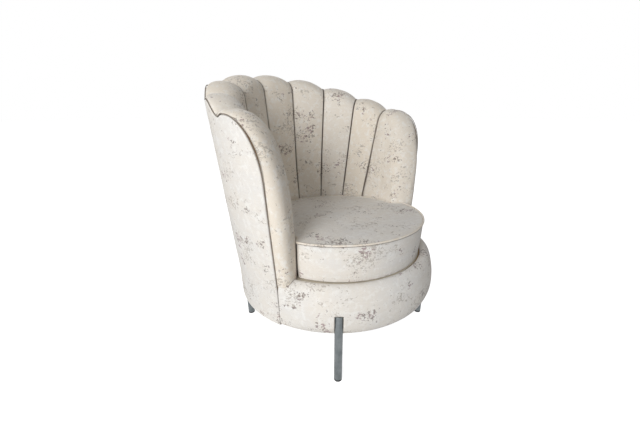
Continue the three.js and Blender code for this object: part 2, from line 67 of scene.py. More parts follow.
DUST_SAG = 0.0025
TINY = 1e-5


class Body(Enum):
    """Bodies of the frame that a piece can ride on."""

    CHAIR = "chair"
    CUSHION = "cushion"


class Slot(Enum):
    """Material slots of the record, one for each finish of the new pieces."""

    FABRIC = "cover_fabric"
    STEEL = "leg_steel"
    GLIDE = "glide_plastic"
    LINING = "lining"
    DUST = "dust_cloth"


def linear(red: int, green: int, blue: int) -> Colour:
    """Turns a colour written in 0 to 255 into the linear values that shaders take.

    Args:
        red: Red, 0 to 255.
        green: Green, 0 to 255.
        blue: Blue, 0 to 255.

    Returns:
        The linear colour.
    """
    def one(value: int) -> float:
        """One channel."""
        share = value / 255
        return share / 12.92 if share <= 0.04045 else ((share + 0.055) / 1.055) ** 2.4

    return one(red), one(green), one(blue)


def smoothstep(low: float, high: float, value: float) -> float:
    """Eases from 0 at low to 1 at high."""
    share = min(1.0, max(0.0, (value - low) / (high - low)))
    return share * share * (3 - 2 * share)


def smoothstep_rows(low: float, high: float, values: np.ndarray) -> np.ndarray:
    """Eases from 0 at low to 1 at high for every value of an array."""
    share = np.clip((values - low) / (high - low), 0, 1)
    return share * share * (3 - 2 * share)


# Form.


@dataclass(frozen=True)
class ChairForm:
    """Sizes and curves that the chair's pieces share."""

    axis_y: float
    height: float = 0.897
    drum_radius: float = 0.350
    drum_bottom: float = 0.172
    drum_top: float = 0.308
    inner_radius: float = 0.264
    face_lean: float = 0.065
    deck_radius: float = 0.3045
    hoop_outer: float = 0.3312
    seat_bottom: float = 0.3148
    seat_thickness: float = 0.121
    flare: float = 0.0745
    flare_start: float = 0.190
    flare_end: float = 0.310
    channels: int = 9
    top_pitch: float = 25.48
    crowding: float = 0.00644
    foot_share: float = 0.837
    rim_fall: float = 0.124
    dip: float = 0.018
    dip_power: float = 2.2
    crest_inset: float = 0.042
    crest_inner: float = 0.046
    crest_outer: float = 0.015
    seam_depth: float = 0.013
    seam_depth_seat: float = 0.003
    roll_start: float = 88.0
    roll_end: float = 111.5
    roll_shoulder: float = 0.480
    roll_power: float = 2.2
    roll_outer: float = 0.040
    roll_swell: float = 0.005
    roll_swell_angle: float = 14.0
    welt_end: float = 105.0
    welt_shoulder: float = 0.600
    welt_power: float = 2.15
    welt_setback: float = 0.0034
    cushion_gap: float = 0.002
    cushion_forward: float = 0.020
    cushion_foot_forward: float = 0.012
    cushion_blend: float = 0.006
    room: float = 0.0003
    border_gap: float = 0.0006
    border_away: float = 0.1
    solve_steps: int = 14

    @property
    def last(self) -> float:
        """Number of the end channel, counted from the middle one."""
        return (self.channels - 1) / 2

    @property
    def last_seam(self) -> float:
        """Angle of the seam beside an end channel at the rim."""
        return self.rim_angle(self.last - 0.5)

    @property
    def roll_width(self) -> float:
        """Length of a roll round the shell, from its channel to its front edge."""
        return math.radians(self.roll_end - self.roll_start) * self.drum_radius

    @property
    def seat_top(self) -> float:
        """Height of the cushion's upper edge at the front."""
        return self.seat_bottom + self.seat_thickness

    @property
    def cushion_radius(self) -> float:
        """Radius of the cushion's round part."""
        return self.deck_radius - self.cushion_gap - self.cushion_foot_forward

    def point(self, angle: float, radius: float, height: float) -> Point:
        """A point in the frame from its angle, radius and height."""
        turn = math.radians(angle)
        return radius * math.sin(turn), radius * math.cos(turn) + self.axis_y, height

    def shell(self, height: float) -> float:
        """Outer radius of the back's shell at a height.

        Args:
            height: Height above the floor.

        Returns:
            The radius.
        """
        run = self.flare_end - self.flare_start
        if height <= self.flare_start:
            return self.drum_radius
        if height < self.flare_end:
            return self.drum_radius + self.flare * (height - self.flare_start) ** 2 / (2 * run)
        return self.drum_radius + self.flare * (height - self.flare_end + run / 2)

    def rim(self, angle: float) -> float:
        """Height of the sloping rim plane at an angle."""
        return self.height - self.rim_fall * (1 - math.cos(math.radians(angle)))

    def rim_angle(self, place: float) -> float:
        """Angle at the rim of a place counted in channels: whole numbers are middles, halves are seams."""
        return self.top_pitch * place * (1 - self.crowding * place ** 2)

    def angle_of(self, place: float, height: float) -> float:
        """Angle of a place at a height: closer to the middle of the back at the foot.

        Args:
            place: Place counted in channels from the middle of the back.
            height: Height above the floor.

        Returns:
            The angle.
        """
        top = self.rim_angle(place)
        rise = (height - self.drum_top) / (self.rim(top) - self.drum_top)
        return top * (self.foot_share + (1 - self.foot_share) * rise)

    def channel_share(self, angle: float) -> float:
        """Place across a channel at the rim, from -1 at one seam to 1 at the other.

        Args:
            angle: Angle at the rim.

        Returns:
            The place across the channel.
        """
        place = angle / self.top_pitch
        for _ in range(self.solve_steps):
            place = angle / self.top_pitch + self.crowding * place ** 3
        return (place - round(place)) * 2

    def crest(self, angle: float) -> float:
        """Height of the padding's crest at an angle.

        Args:
            angle: Angle at the rim.

        Returns:
            The height, which falls to the roll's shoulder at the front.
        """
        away = abs(angle)
        cap = self.rim(min(away, self.roll_start))
        if away > self.roll_start:
            share = min(1.0, (away - self.roll_start) / (self.roll_end - self.roll_start))
            rise = (1 - share ** self.roll_power) ** (1 / self.roll_power)
            return self.roll_shoulder + (cap - self.roll_shoulder) * rise
        if away > self.last_seam:
            wave = (away - self.roll_start) / (self.roll_start - self.last_seam)
        else:
            wave = self.channel_share(away)
        return cap - self.dip * abs(wave) ** self.dip_power

    def welt(self, angle: float) -> float:
        """Height at which the outer panel ends at an angle.

        Args:
            angle: Angle at the rim.

        Returns:
            The height, which falls to the welt's shoulder at the front.
        """
        away = abs(angle)
        cap = self.rim(min(away, self.roll_start)) - self.crest_outer
        if away > self.roll_start:
            share = min(1.0, (away - self.roll_start) / (self.welt_end - self.roll_start))
            rise = (1 - share ** self.welt_power) ** (1 / self.welt_power)
            return self.welt_shoulder + (cap - self.welt_shoulder) * rise
        if away > self.last_seam:
            wave = (self.roll_start - away) / (self.roll_start - self.last_seam)
        else:
            wave = self.channel_share(away)
        return cap - self.dip / 2 * (1 - math.cos(math.pi * wave))

    def face(self, angle: float, height: float) -> float:
        """Radius of the padding's inner face in the middle of a channel."""
        swell = self.roll_swell * smoothstep(0, self.roll_swell_angle, abs(angle) - self.roll_start)
        return self.inner_radius - swell + self.face_lean * max(0.0, height - self.seat_top)

    def roll_room(self, angle: float) -> float:
        """Length left to the front edge of a roll at an angle."""
        return math.radians(self.roll_end - abs(angle)) * self.drum_radius

    def seat_reach(self, angle: float, radius: float, forward: float) -> float:
        """Reach of a round outline pushed forward, held inside the padding.

        Args:
            angle: Angle round the drum's axis.
            radius: Radius of the round outline.
            forward: How far its middle lies before the axis.

        Returns:
            Distance of the outline from the axis.
        """
        turn = math.radians(angle)
        angle = math.degrees(math.atan2(math.sin(turn), math.cos(turn)))
        room = self.drum_radius
        if abs(angle) < self.roll_end:
            ridge = self.shell(self.crest(angle)) - self.crest_inset
            share = math.cos(math.asin(1 - min(1.0, self.roll_room(angle) / self.crest_inner)))
            room = ridge + (self.face(angle, self.drum_top) - ridge) * share
        room -= self.cushion_gap
        out = math.sqrt(radius ** 2 - (forward * math.sin(turn)) ** 2) - forward * math.cos(turn)
        return (out + room - math.hypot(out - room, self.cushion_blend)) / 2

    def seam(self, height: float) -> float:
        """How far a seam lies behind the fullest part of the padding at a height."""
        rise = smoothstep(self.seat_top, self.seat_top + self.seat_thickness, height)
        return self.seam_depth_seat + (self.seam_depth - self.seam_depth_seat) * rise


# Mesh tools.


def dress(
    piece: Piece, finish: Material, body: Body, node: str, slot: Slot,
    angle: float = CLOTH_ANGLE,
) -> None:
    """Gives a finished piece all that it needs in the frame.

    Args:
        piece: The piece.
        finish: Its material.
        body: The body that it rides on.
        node: The frame's node whose place it takes.
        slot: Its material slot; not used.
        angle: Sharpest angle that is shaded smooth, in degrees.
    """
    piece.data.materials.append(finish)
    smooth_shade(piece, angle)
    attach(piece, body.value)
    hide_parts(node)


def only(piece: Piece) -> None:
    """Selects one piece alone and makes it the active one.

    Args:
        piece: The piece.
    """
    if bpy.context.object and bpy.context.object.mode != "OBJECT":
        bpy.ops.object.mode_set(mode="OBJECT")
    bpy.ops.object.select_all(action="DESELECT")
    piece.select_set(True)
    bpy.context.view_layer.objects.active = piece


def settle(piece: Piece) -> None:
    """Applies every modifier of a piece, in order.

    Args:
        piece: The piece.
    """
    only(piece)
    for modifier in list(piece.modifiers):
        bpy.ops.object.modifier_apply(modifier=modifier.name)


def place_in_mesh(piece: Piece) -> None:
    """Moves a piece's place, turn and size into its mesh."""
    only(piece)
    bpy.ops.object.transform_apply(location=True, rotation=True, scale=True)


def coordinates(mesh: Mesh) -> np.ndarray:
    """The mesh's vertices as rows of x, y, z.

    Args:
        mesh: The mesh.

    Returns:
        One row for each vertex.
    """
    flat = np.empty(len(mesh.vertices) * 3, np.float64)
    mesh.vertices.foreach_get("co", flat)
    return flat.reshape(-1, 3)


def move_vertices(mesh: Mesh, places: np.ndarray) -> None:
    """Writes new places to the mesh's vertices."""
    mesh.vertices.foreach_set("co", places.astype(np.float32).ravel())
    mesh.update()


def normals(mesh: Mesh) -> np.ndarray:
    """The mesh's vertex normals as rows of x, y, z.

    Args:
        mesh: The mesh.

    Returns:
        One row for each vertex.
    """
    flat = np.empty(len(mesh.vertices) * 3, np.float64)
    mesh.vertices.foreach_get("normal", flat)
    return flat.reshape(-1, 3)


def smooth_shade(piece: Piece, angle: float) -> None:
    """Shades a piece smooth, with edges sharper than an angle in degrees kept."""
    only(piece)
    bpy.ops.object.shade_smooth_by_angle(angle=math.radians(angle))


def link_piece(name: str, data: bpy.types.ID) -> Piece:
    """Puts a mesh, a lamp or a camera into the scene, at the origin.

    Args:
        name: The object's name.
        data: The mesh, lamp or camera.

    Returns:
        The object.
    """
    piece = bpy.data.objects.new(name, data)
    bpy.context.scene.collection.objects.link(piece)
    return piece


def faced_piece(name: str, places: np.ndarray, faces: list[tuple[int, ...]]) -> Piece:
    """Makes a piece from its vertices and faces, and turns the faces the same way.

    Args:
        name: The piece's name.
        places: Rows of x, y, z.
        faces: Vertex numbers of each face.

    Returns:
        The new piece, its faces pointing outwards where it is closed.
    """
    mesh = bpy.data.meshes.new(name)
    mesh.from_pydata(places.tolist(), [], faces)
    mesh.update()
    piece = link_piece(name, mesh)
    only(piece)
    bpy.ops.object.mode_set(mode="EDIT")
    bpy.ops.mesh.select_all(action="SELECT")
    bpy.ops.mesh.normals_make_consistent(inside=False)
    bpy.ops.object.mode_set(mode="OBJECT")
    return piece


def give_mask(mesh: Mesh, title: str, values: np.ndarray) -> None:
    """Writes one number for each vertex, which the finishes read by its title."""
    mask = mesh.attributes.new(title, "FLOAT", "POINT")
    mask.data.foreach_set("value", values.astype(np.float32).ravel())


def lengths_along(line: np.ndarray) -> np.ndarray:
    """Length from a line's start to each of its points."""
    return np.concatenate([[0], np.cumsum(np.linalg.norm(np.diff(line, axis=0), axis=1))])


def spaced(line: np.ndarray, points: int, endpoint: bool = True) -> np.ndarray:
    """Evenly spaced points along a line.

    Args:
        line: Rows of the line's own points.
        points: How many points the new line has.
        endpoint: Whether the last one lies on the line's end.

    Returns:
        Rows of the new points.
    """
    length = lengths_along(line)
    even = np.linspace(0, length[-1], points, endpoint=endpoint)
    return np.stack([np.interp(even, length, line[:, n]) for n in range(line.shape[1])], 1)


@dataclass
class Loft:
    """Closed sections joined into one closed skin of four-sided faces, with cloth coordinates in metres."""

    sections: np.ndarray
    cloth: np.ndarray
    closes: bool = False
    masks: dict[str, np.ndarray] = field(default_factory=dict)

    def faces(self) -> tuple[np.ndarray, np.ndarray]:
        """Corner numbers of the faces, and the section and point that each corner's cloth place is read from.

        Returns:
            The faces as rows of four vertex numbers, and the matching rows of places in the cloth array.
        """
        rows, points = self.sections.shape[:2]
        spans = rows if self.closes else rows - 1
        i, j = np.meshgrid(np.arange(spans), np.arange(points), indexing="ij")
        i, j = i.ravel(), j.ravel()
        after, beside = (i + 1) % rows, (j + 1) % points
        skin = np.stack([i * points + j, after * points + j, after * points + beside, i * points + beside], 1)
        wide = points + 1
        places = np.stack([i * wide + j, (i + 1) * wide + j, (i + 1) * wide + j + 1, i * wide + j + 1], 1)
        if self.closes:
            return skin, places
        k = np.arange(points // 2 - 1)
        caps, cap_places = [], []
        for row, turned in ((0, False), (rows - 1, True)):
            cap = np.stack([k, k + 1, points - 2 - k, points - 1 - k], 1)
            if turned:
                cap = cap[:, ::-1]
            caps.append(cap + row * points)
            cap_places.append(cap + row * wide)
        return np.concatenate([skin, *caps]), np.concatenate([places, *cap_places])

    def build(self, name: str) -> Piece:
        """Makes the piece.

        Args:
            name: The piece's name.

        Returns:
            The new object, its faces pointing outwards.
        """
        points = self.sections.reshape(-1, 3)
        corners, places = self.faces()
        a, b, c, d = (points[corners[:, n]] for n in range(4))
        volume = (a * np.cross(b, c)).sum() + (a * np.cross(c, d)).sum()
        if volume < 0:
            corners, places = corners[:, ::-1], places[:, ::-1]
        mesh = bpy.data.meshes.new(name)
        mesh.vertices.add(len(points))
        mesh.loops.add(corners.size)
        mesh.polygons.add(len(corners))
        mesh.vertices.foreach_set("co", points.astype(np.float32).ravel())
        mesh.loops.foreach_set("vertex_index", np.ascontiguousarray(corners).astype(np.int32).ravel())
        mesh.polygons.foreach_set("loop_start", np.arange(0, corners.size, 4, dtype=np.int32))
        uv = mesh.uv_layers.new(name="cloth")
        uv.data.foreach_set("uv", self.cloth.reshape(-1, 2)[places.ravel()].astype(np.float32).ravel())
        for title, values in self.masks.items():
            give_mask(mesh, title, values)
        mesh.update(calc_edges=True)
        mesh.validate()
        mesh.polygons.foreach_set("use_smooth", [True] * len(mesh.polygons))
        return link_piece(name, mesh)


def cloth_places(sections: np.ndarray, closes: bool = False) -> np.ndarray:
    """Cloth coordinates that follow a skin's own lengths.

    Args:
        sections: Sections of points.
        closes: Whether the last section joins the first.

    Returns:
        Places across and along in metres, for one section and one point more than there are where they close.
    """
    rows = np.concatenate([sections, sections[:1]]) if closes else sections
    ring = np.concatenate([rows, rows[:, :1]], 1)
    along = np.linalg.norm(np.diff(ring, axis=1), axis=2)
    along = np.concatenate([np.zeros((len(rows), 1)), np.cumsum(along, 1)], 1)
    across = np.linalg.norm(np.diff(ring, axis=0), axis=2).mean(1)
    across = np.concatenate([[0.0], np.cumsum(across)])
    return np.stack([np.repeat(across[:, None], ring.shape[1], 1), along], 2)


def hold(piece: Piece, weights: np.ndarray, levels: int = 20) -> None:
    """Gives a piece the vertex group that says how firmly each point is held.

    Args:
        piece: The piece.
        weights: One value for each vertex, from 0, free, to 1, held.
        levels: How many steps the values are rounded to.
    """
    group = piece.vertex_groups.new(name="held")
    steps = np.round(np.clip(weights, 0, 1) * levels).astype(int)
    for step in np.unique(steps):
        group.add(np.flatnonzero(steps == step).tolist(), float(step) / levels, "REPLACE")


@dataclass(frozen=True)
class Filling:
    """How padding swells its cover: a short cloth simulation with inner pressure.

    No point moves further than most, and the mass is that of one vertex.
    """

    pressure: float
    most: float
    frames: int = 20
    stiffness: float = 30.0
    bending: float = 2.0
    mass: float = 0.003
    quality: int = 5

    def swell(self, piece: Piece) -> None:
        """Swells a piece under its filling's pressure and keeps the result in its mesh.

        Args:
            piece: A closed piece with the vertex group of its held points.
        """
        scene = bpy.context.scene
        scene.frame_set(1)
        start = coordinates(piece.data)
        cloth = piece.modifiers.new("filling", "CLOTH")
        cloth.settings.quality = self.quality
        cloth.settings.mass = self.mass
        cloth.settings.tension_stiffness = self.stiffness
        cloth.settings.compression_stiffness = self.stiffness
        cloth.settings.shear_stiffness = self.stiffness / 2
        cloth.settings.bending_stiffness = self.bending
        cloth.settings.use_pressure = True
        cloth.settings.uniform_pressure_force = self.pressure
        cloth.settings.vertex_group_mass = "held"
        cloth.settings.effector_weights.gravity = 0
        cloth.collision_settings.use_collision = False
        cloth.point_cache.frame_start = 1
        cloth.point_cache.frame_end = self.frames
        for step in range(1, self.frames + 1):
            scene.frame_set(step)
        settled = piece.evaluated_get(bpy.context.evaluated_depsgraph_get())
        moved = coordinates(settled.data) - start
        length = np.linalg.norm(moved, axis=1)
        mean, peak = 1000 * length.mean(), 1000 * length.max()
        LOG.info("%s swells %.1f mm on average, %.1f mm at most before its cap", piece.name, mean, peak)
        kept = self.most * np.tanh(length / self.most) / np.maximum(length, 1e-9)
        only(piece)
        bpy.ops.object.modifier_apply(modifier=cloth.name)
        move_vertices(piece.data, start + moved * kept[:, None])
        scene.frame_set(1)


def unevenness(places: np.ndarray, size: float, seed: float) -> np.ndarray:
    """Smooth random values over space, the same at each run.

    Args:
        places: Rows of x, y, z.
        size: Length of one swell.
        seed: Shifts the pattern.

    Returns:
        One value from about -1 to 1 for each place.
    """
    steps = (3.1, 1.7, 2.3)
    shift = Vector([seed * step for step in steps])
    return np.array([noise.noise(Vector(place) / size + shift) for place in places])


def soften(piece: Piece, depth: float, size: float, seed: float, free: np.ndarray) -> None:
    """Adds the low unevenness of hand-laid padding.

    Args:
        piece: The piece.
        depth: Most that a point moves.
        size: Length of one swell.
        seed: Shifts the pattern.
        free: One value for each vertex, 0 where nothing moves.
    """
    places = coordinates(piece.data)
    move = unevenness(places, size, seed) * depth * free
    move_vertices(piece.data, places + normals(piece.data) * move[:, None])


def refine(piece: Piece) -> None:
    """Subdivides a padded piece smoothly and keeps the result.

    Args:
        piece: The piece.
    """
    surface = piece.modifiers.new("surface", "SUBSURF")
    surface.levels = surface.render_levels = 1
    surface.use_limit_surface = False
    settle(piece)


def tube_along(
    path: np.ndarray, radius: float, sides: int, closes: bool, lift: np.ndarray | None = None,
) -> Loft:
    """A round cord along a path.

    Args:
        path: Points of its middle line.
        radius: Radius of the cord.
        sides: Points of one section.
        closes: Whether its end joins its start.
        lift: Direction at each point that the section's first point faces; upwards if left out.

    Returns:
        The cord as a loft.
    """
    ahead = np.roll(path, -1, 0) - np.roll(path, 1, 0)
    if not closes:
        ahead[0], ahead[-1] = path[1] - path[0], path[-1] - path[-2]
    ahead /= np.linalg.norm(ahead, axis=1)[:, None]
    up = np.tile([0.0, 0.0, 1.0], (len(path), 1)) if lift is None else lift
    side = np.cross(ahead, up)
    side /= np.linalg.norm(side, axis=1)[:, None]
    top = np.cross(side, ahead)
    turn = np.linspace(0, 2 * math.pi, sides, endpoint=False)[None, :, None]
    sections = path[:, None] + radius * (side[:, None] * np.cos(turn) + top[:, None] * np.sin(turn))
    return Loft(sections, cloth_places(sections, closes), closes)


def column_angles(start: float, end: float, step: float, legs: tuple[float, ...]) -> np.ndarray:
    """Angles of a cover's columns, closer together at its ends and beside the legs.

    Args:
        start: Angle of its first column.
        end: Angle of its last column.
        step: Angle between two columns elsewhere.
        legs: Angles of the legs that are let into it.

    Returns:
        The angles in order.
    """
    offsets, near, least = (-3.2, -2.7, -2.35, 2.35, 2.7, 3.2), (0.0, 0.25, 0.55, 0.95, 1.5), 0.3
    first, last = 2.2, 2.0
    beside = [leg + offset for leg in legs for offset in offsets]
    even = np.arange(start + first, end - last, step)
    kept = [angle for angle in even if all(abs(angle - leg) > least for leg in beside)]
    return np.array(sorted(kept + beside + [start + room for room in near] + [end - room for room in near]))


def rounding(distance: float, radius: float) -> float:
    """How far a rounded edge falls back at a distance from its end."""
    left = max(0.0, radius - distance)
    return radius - math.sqrt(max(0.0, radius * radius - left * left))


@dataclass(frozen=True)
class Cover:
    """What the two padded covers of the drum and the back share once their skins are drawn."""

    node: str
    tone: float
    uneven: tuple[float, float]
    seed: float
    # Strength of the painted shade along a cover's ends and seams.
    painted_shade: float = 0.8
    edge_firm: float = 0.9
    edge_run: tuple[float, float] = (0.002, 0.03)

    def firmness(self, gap: float) -> float:
        """How firmly a point at a distance from the cover's edge is held, from 0 to 1."""
        return 1 - self.edge_firm * smoothstep(*self.edge_run, gap)

    def finish(
        self, form: ChairForm, piece: Piece, held: np.ndarray, filling: Filling, tuck: float,
        fabric: Material,
    ) -> Piece:
        """Swells a cover, lets the legs into it and dresses it.

        Args:
            form: The chair's sizes.
            piece: The cover as it was drawn.
            held: How firmly each point is held.
            filling: Its padding.
            tuck: How far it is pulled in at a leg.
            fabric: Its material.

        Returns:
            The finished cover.
        """
        hold(piece, held)
        filling.swell(piece)
        soften(piece, *self.uneven, self.seed, 1 - held)
        refine(piece)
        SteelLegs.notch(form, piece, tuck)
        dress(piece, fabric, Body.CHAIR, self.node, Slot.FABRIC)
        return piece


# Padded back.


@dataclass
class BackPadding:
    """The nine padded channels of the back, each its own pad; the two end ones turn into the front rolls."""

    form: ChairForm
    fabric: Material
    foot_points: int = 3
    face_points: int = 58
    inner_points: int = 14
    outer_points: int = 8
    edge_points: int = 4
    rest_points: int = 60
    columns: int = 25
    end_columns_from_seam: int = 13
    roll_columns: int = 13
    round_columns: int = 15
    even_share: float = 0.45
    valley_power: float = 2.4
    valley_round: float = 1.8
    seam_gap: float = 0.0002
    shell_depth: float = 0.0192
    edge_lift: float = 0.0016
    edge_least: float = 0.0008
    welt_step: float = 0.1
    split_past_welt: float = 0.12
    # Painted shade along each seam, wider towards the foot, and along the foot of the end pads.
    painted_shade_width: float = 0.0017
    painted_shade_rise: float = 0.62
    painted_shade_run: float = 0.20
    foot_painted_shade: float = 0.8
    tone: float = 0.3
    firm: float = 0.75
    soft_edge: float = 0.1
    seat_firm: float = 0.9
    slack: float = 0.0030
    uneven: tuple[float, float] = (0.0012, 0.075)
    first_seed: float = 4.0
    tone_step: float = 2.7
    cut_step: float = 0.31
    gather_step: float = 5.0
    gather: float = 0.0009
    gather_place: tuple[float, float] = (0.006, 0.007)
    gather_length: float = 0.016
    filling: Filling = Filling(pressure=4.0, most=0.009)

    def foot(self, angle: float, radius: float) -> float:
        """Height of the surface that the padding stands on.

        Args:
            angle: Angle of the place.
            radius: Radius of the place.

        Returns:
            The height, which is the border's crown under the rolls and the drum's top elsewhere.
        """
        form = self.form
        low = form.drum_top + form.room
        if abs(angle) <= form.welt_end + form.border_away or radius < form.deck_radius - form.border_gap:
            return low
        return max(low, FrontBorder.crown_at(form, angle, radius) + form.border_gap)

    def foot_line(self, angle: float, back: float, front: float) -> list[tuple[float, float]]:
        """Radius and height of the foot's points from back to front, with a step where the border ends.

        Args:
            angle: Angle of the section.
            back: Radius at which the foot starts.
            front: Radius at which it ends.

        Returns:
            The points in order.
        """
        form, count = self.form, self.foot_points
        step = form.deck_radius - form.border_gap
        if abs(angle) <= form.welt_end + form.border_away or front >= step:
            radii = np.linspace(back, front, 2 * count + 2)[1:-1]
            return [(radius, self.foot(angle, radius)) for radius in radii]
        over = [(radius, self.foot(angle, radius)) for radius in np.linspace(back, step, count + 1)[1:]]
        inside = [(radius, form.drum_top + form.room) for radius in np.linspace(step, front, count + 1)[:-1]]
        return over + inside

    def section(
        self, top_angle: float, angle_at: Callable[[float], float], bend: float, near: float, recessed: bool,
    ) -> Profile:
        """One upright section of padding, as a closed loop from the middle of its foot.

        Args:
            top_angle: Angle of the section at the rim.
            angle_at: Angle of the section at a height.
            bend: 0 in the middle of a channel, 1 at its seam.
            near: Room left to the front edge.
            recessed: Whether the section stands in front of the shell, below the welt.

        Returns:
            The points as angle, radius and height.
        """
        form = self.form
        crest = form.crest(top_angle)
        ridge = form.shell(crest) - form.crest_inset
        share = max(0.0, abs(top_angle) - form.roll_start) / (form.roll_end - form.roll_start)
        width = form.roll_width
        cap = form.rim(form.roll_start)

        def height_at(depth: float) -> float:
            """Height that lies a depth inside the outline.

            Args:
                depth: The depth.

            Returns:
                The height.
            """
            if share == 0:
                return crest - depth
            inside = min(1.0, share * width / max(width - depth, share * width))
            rise = (1 - inside ** form.roll_power) ** (1 / form.roll_power)
            return form.roll_shoulder + (cap - depth - form.roll_shoulder) * rise

        def arc(reach: float, points: int) -> list[tuple[float, float]]:
            """Share of the thickness and height along a rounded edge, from its low end to the crest.

            Args:
                reach: How far the rounded edge reaches down.
                points: How many points it has.

            Returns:
                The points from the low end up.
            """
            low = math.asin(1 - min(1.0, near / reach))
            turns = np.linspace(low, math.pi / 2, points)
            return [(math.cos(turn), height_at(reach * (1 - math.sin(turn)))) for turn in turns]

        def face(height: float) -> float:
            """Radius of the inner face."""
            return form.face(top_angle, height) + form.seam(height) * bend

        def outside(height: float) -> float:
            """Radius of the outer face."""
            return form.shell(height) - form.welt_setback

        reach = form.crest_outer + (form.roll_outer - form.crest_outer) * smoothstep(0, 1, share)
        inner, outer = arc(form.crest_inner, self.inner_points), arc(reach, self.outer_points)
        inner_share, inner_low = inner[0]
        outer_share, outer_low = outer[0]
        angle = angle_at(inner_low)
        face_radius = ridge + (face(form.drum_top) - ridge) * inner_share
        welt = form.welt(max(0.0, abs(top_angle) - self.welt_step))
        lift = min(welt + self.edge_lift, outer_low - self.edge_least)
        back_radius = form.shell(form.drum_top) - (self.shell_depth if recessed else form.welt_setback)
        if not recessed:
            back_radius = ridge + (back_radius - ridge) * outer_share
        foot = [(angle, radius, z) for radius, z in self.foot_line(angle, back_radius, face_radius)]
        points = [(angle_at(z), radius, z) for _, radius, z in foot[self.foot_points:]]
        start = self.foot(angle, face_radius)
        for step in np.linspace(0, 1, self.face_points, endpoint=False):
            z = start + (inner_low - start) * step
            points.append((angle_at(z), ridge + (face(z) - ridge) * inner_share, z))
        points += [(angle_at(z), ridge + (face(z) - ridge) * wide, z) for wide, z in inner]
        points += [(angle_at(z), ridge + (outside(z) - ridge) * wide, z) for wide, z in outer[-2::-1]]
        for step in np.linspace(0, 1, self.edge_points + 1)[1:]:
            z = outer_low + (lift - outer_low) * step
            points.append((angle_at(z), ridge + (outside(z) - ridge) * outer_share, z))
        end = self.foot(angle, back_radius)
        # Where nothing is recessed, the edge above has its last point at the lift already.
        for step in np.linspace(0 if recessed else 0.5 / self.rest_points, 1, self.rest_points):
            z = lift + (end - lift) * step
            if recessed:
                radius = form.shell(z) - self.shell_depth
            else:
                radius = ridge + (outside(z) - ridge) * outer_share
            points.append((angle_at(z), radius, z))
        points += [(angle_at(z), radius, z) for _, radius, z in foot[:self.foot_points]]
        return points

    def spread(self, step: float) -> float:
        """Draws evenly stepped columns towards the seam at 1."""
        return self.even_share * step + (1 - self.even_share) * math.sin(math.pi / 2 * step)

    def valley(self, across: float) -> float:
        """How far the padding has fallen back to its seam: 0 in the middle of a channel, 1 at the seam."""
        return 1 - (1 - min(1.0, abs(across)) ** self.valley_power) ** (1 / self.valley_round)

    def middle_columns(self, number: float) -> list[tuple[float, Profile]]:
        """Distance to the nearest seam and section of each column of a middle channel.

        Args:
            number: The channel's place, counted from the middle of the back.

        Returns:
            One distance and section for each column.
        """
        form = self.form
        found = []
        trim = math.degrees(self.seam_gap / form.inner_radius)
        width = form.rim_angle(number + 0.5) - form.rim_angle(number - 0.5)
        half = math.radians(width) / 2 * form.drum_radius
        for step in np.linspace(-1, 1, self.columns):
            across = self.spread(step)
            place = number + across / 2
            edge = math.copysign(trim, across) if abs(step) == 1 else 0.0
            points = self.section(
                form.rim_angle(place), lambda z, place=place, edge=edge: form.angle_of(place, z) - edge,
                self.valley(across), form.crest_inner, True,
            )
            found.append(((1 - abs(across)) * half, points))
        return found

    def end_columns(self, side: int) -> list[tuple[float, Profile]]:
        """Distance to the seam and section of each column of an end channel and its roll.

        Args:
            side: -1 for the left end, 1 for the right end.

        Returns:
            One distance and section for each column.
        """
        form = self.form
        found = []
        trim = math.degrees(self.seam_gap / form.inner_radius)
        seam = form.last - 0.5
        wide = math.radians(form.roll_start - form.last_seam) * form.drum_radius
        for step in np.linspace(0, 1, self.end_columns_from_seam):
            share = 1 - self.spread(1 - step)
            edge = trim if step == 0 else 0.0

            def angle_at(z: float, share: float = share, edge: float = edge) -> float:
                """Angle at a height, between the seam and the start of the roll."""
                low = form.angle_of(seam, z)
                return side * (low + (form.roll_start - low) * share + edge)

            top = form.last_seam + (form.roll_start - form.last_seam) * share
            points = self.section(side * top, angle_at, self.valley(1 - share), form.crest_inner, True)
            found.append((share * wide, points))
        for run, recessed in self.roll_runs():
            angle = side * (form.roll_start + math.degrees(run / form.drum_radius))
            points = self.section(angle, lambda z, a=angle: a, 0.0, form.roll_width - run, recessed)
            found.append((1.0, points))
        return found

    def roll_runs(self) -> list[tuple[float, bool]]:
        """Distance of each of a roll's columns from its start, and whether the outer panel covers it.

        Returns:
            The distances in order, each with whether the panel covers it.
        """
        form = self.form
        width, turns, apart, pair = form.roll_width, (84, 5), 0.002, 0.0003
        even = [width - room for room in np.linspace(width, form.crest_inner, self.roll_columns)[1:]]
        turned = np.radians(np.linspace(*turns, self.round_columns))
        rounded = [width - form.crest_inner * (1 - math.cos(turn)) for turn in turned]
        split = math.radians(form.welt_end + self.split_past_welt - form.roll_start) * form.drum_radius
        runs = sorted([run for run in even + rounded if abs(run - split) > apart] + [split, split + pair])
        return [(run, run <= split) for run in runs]

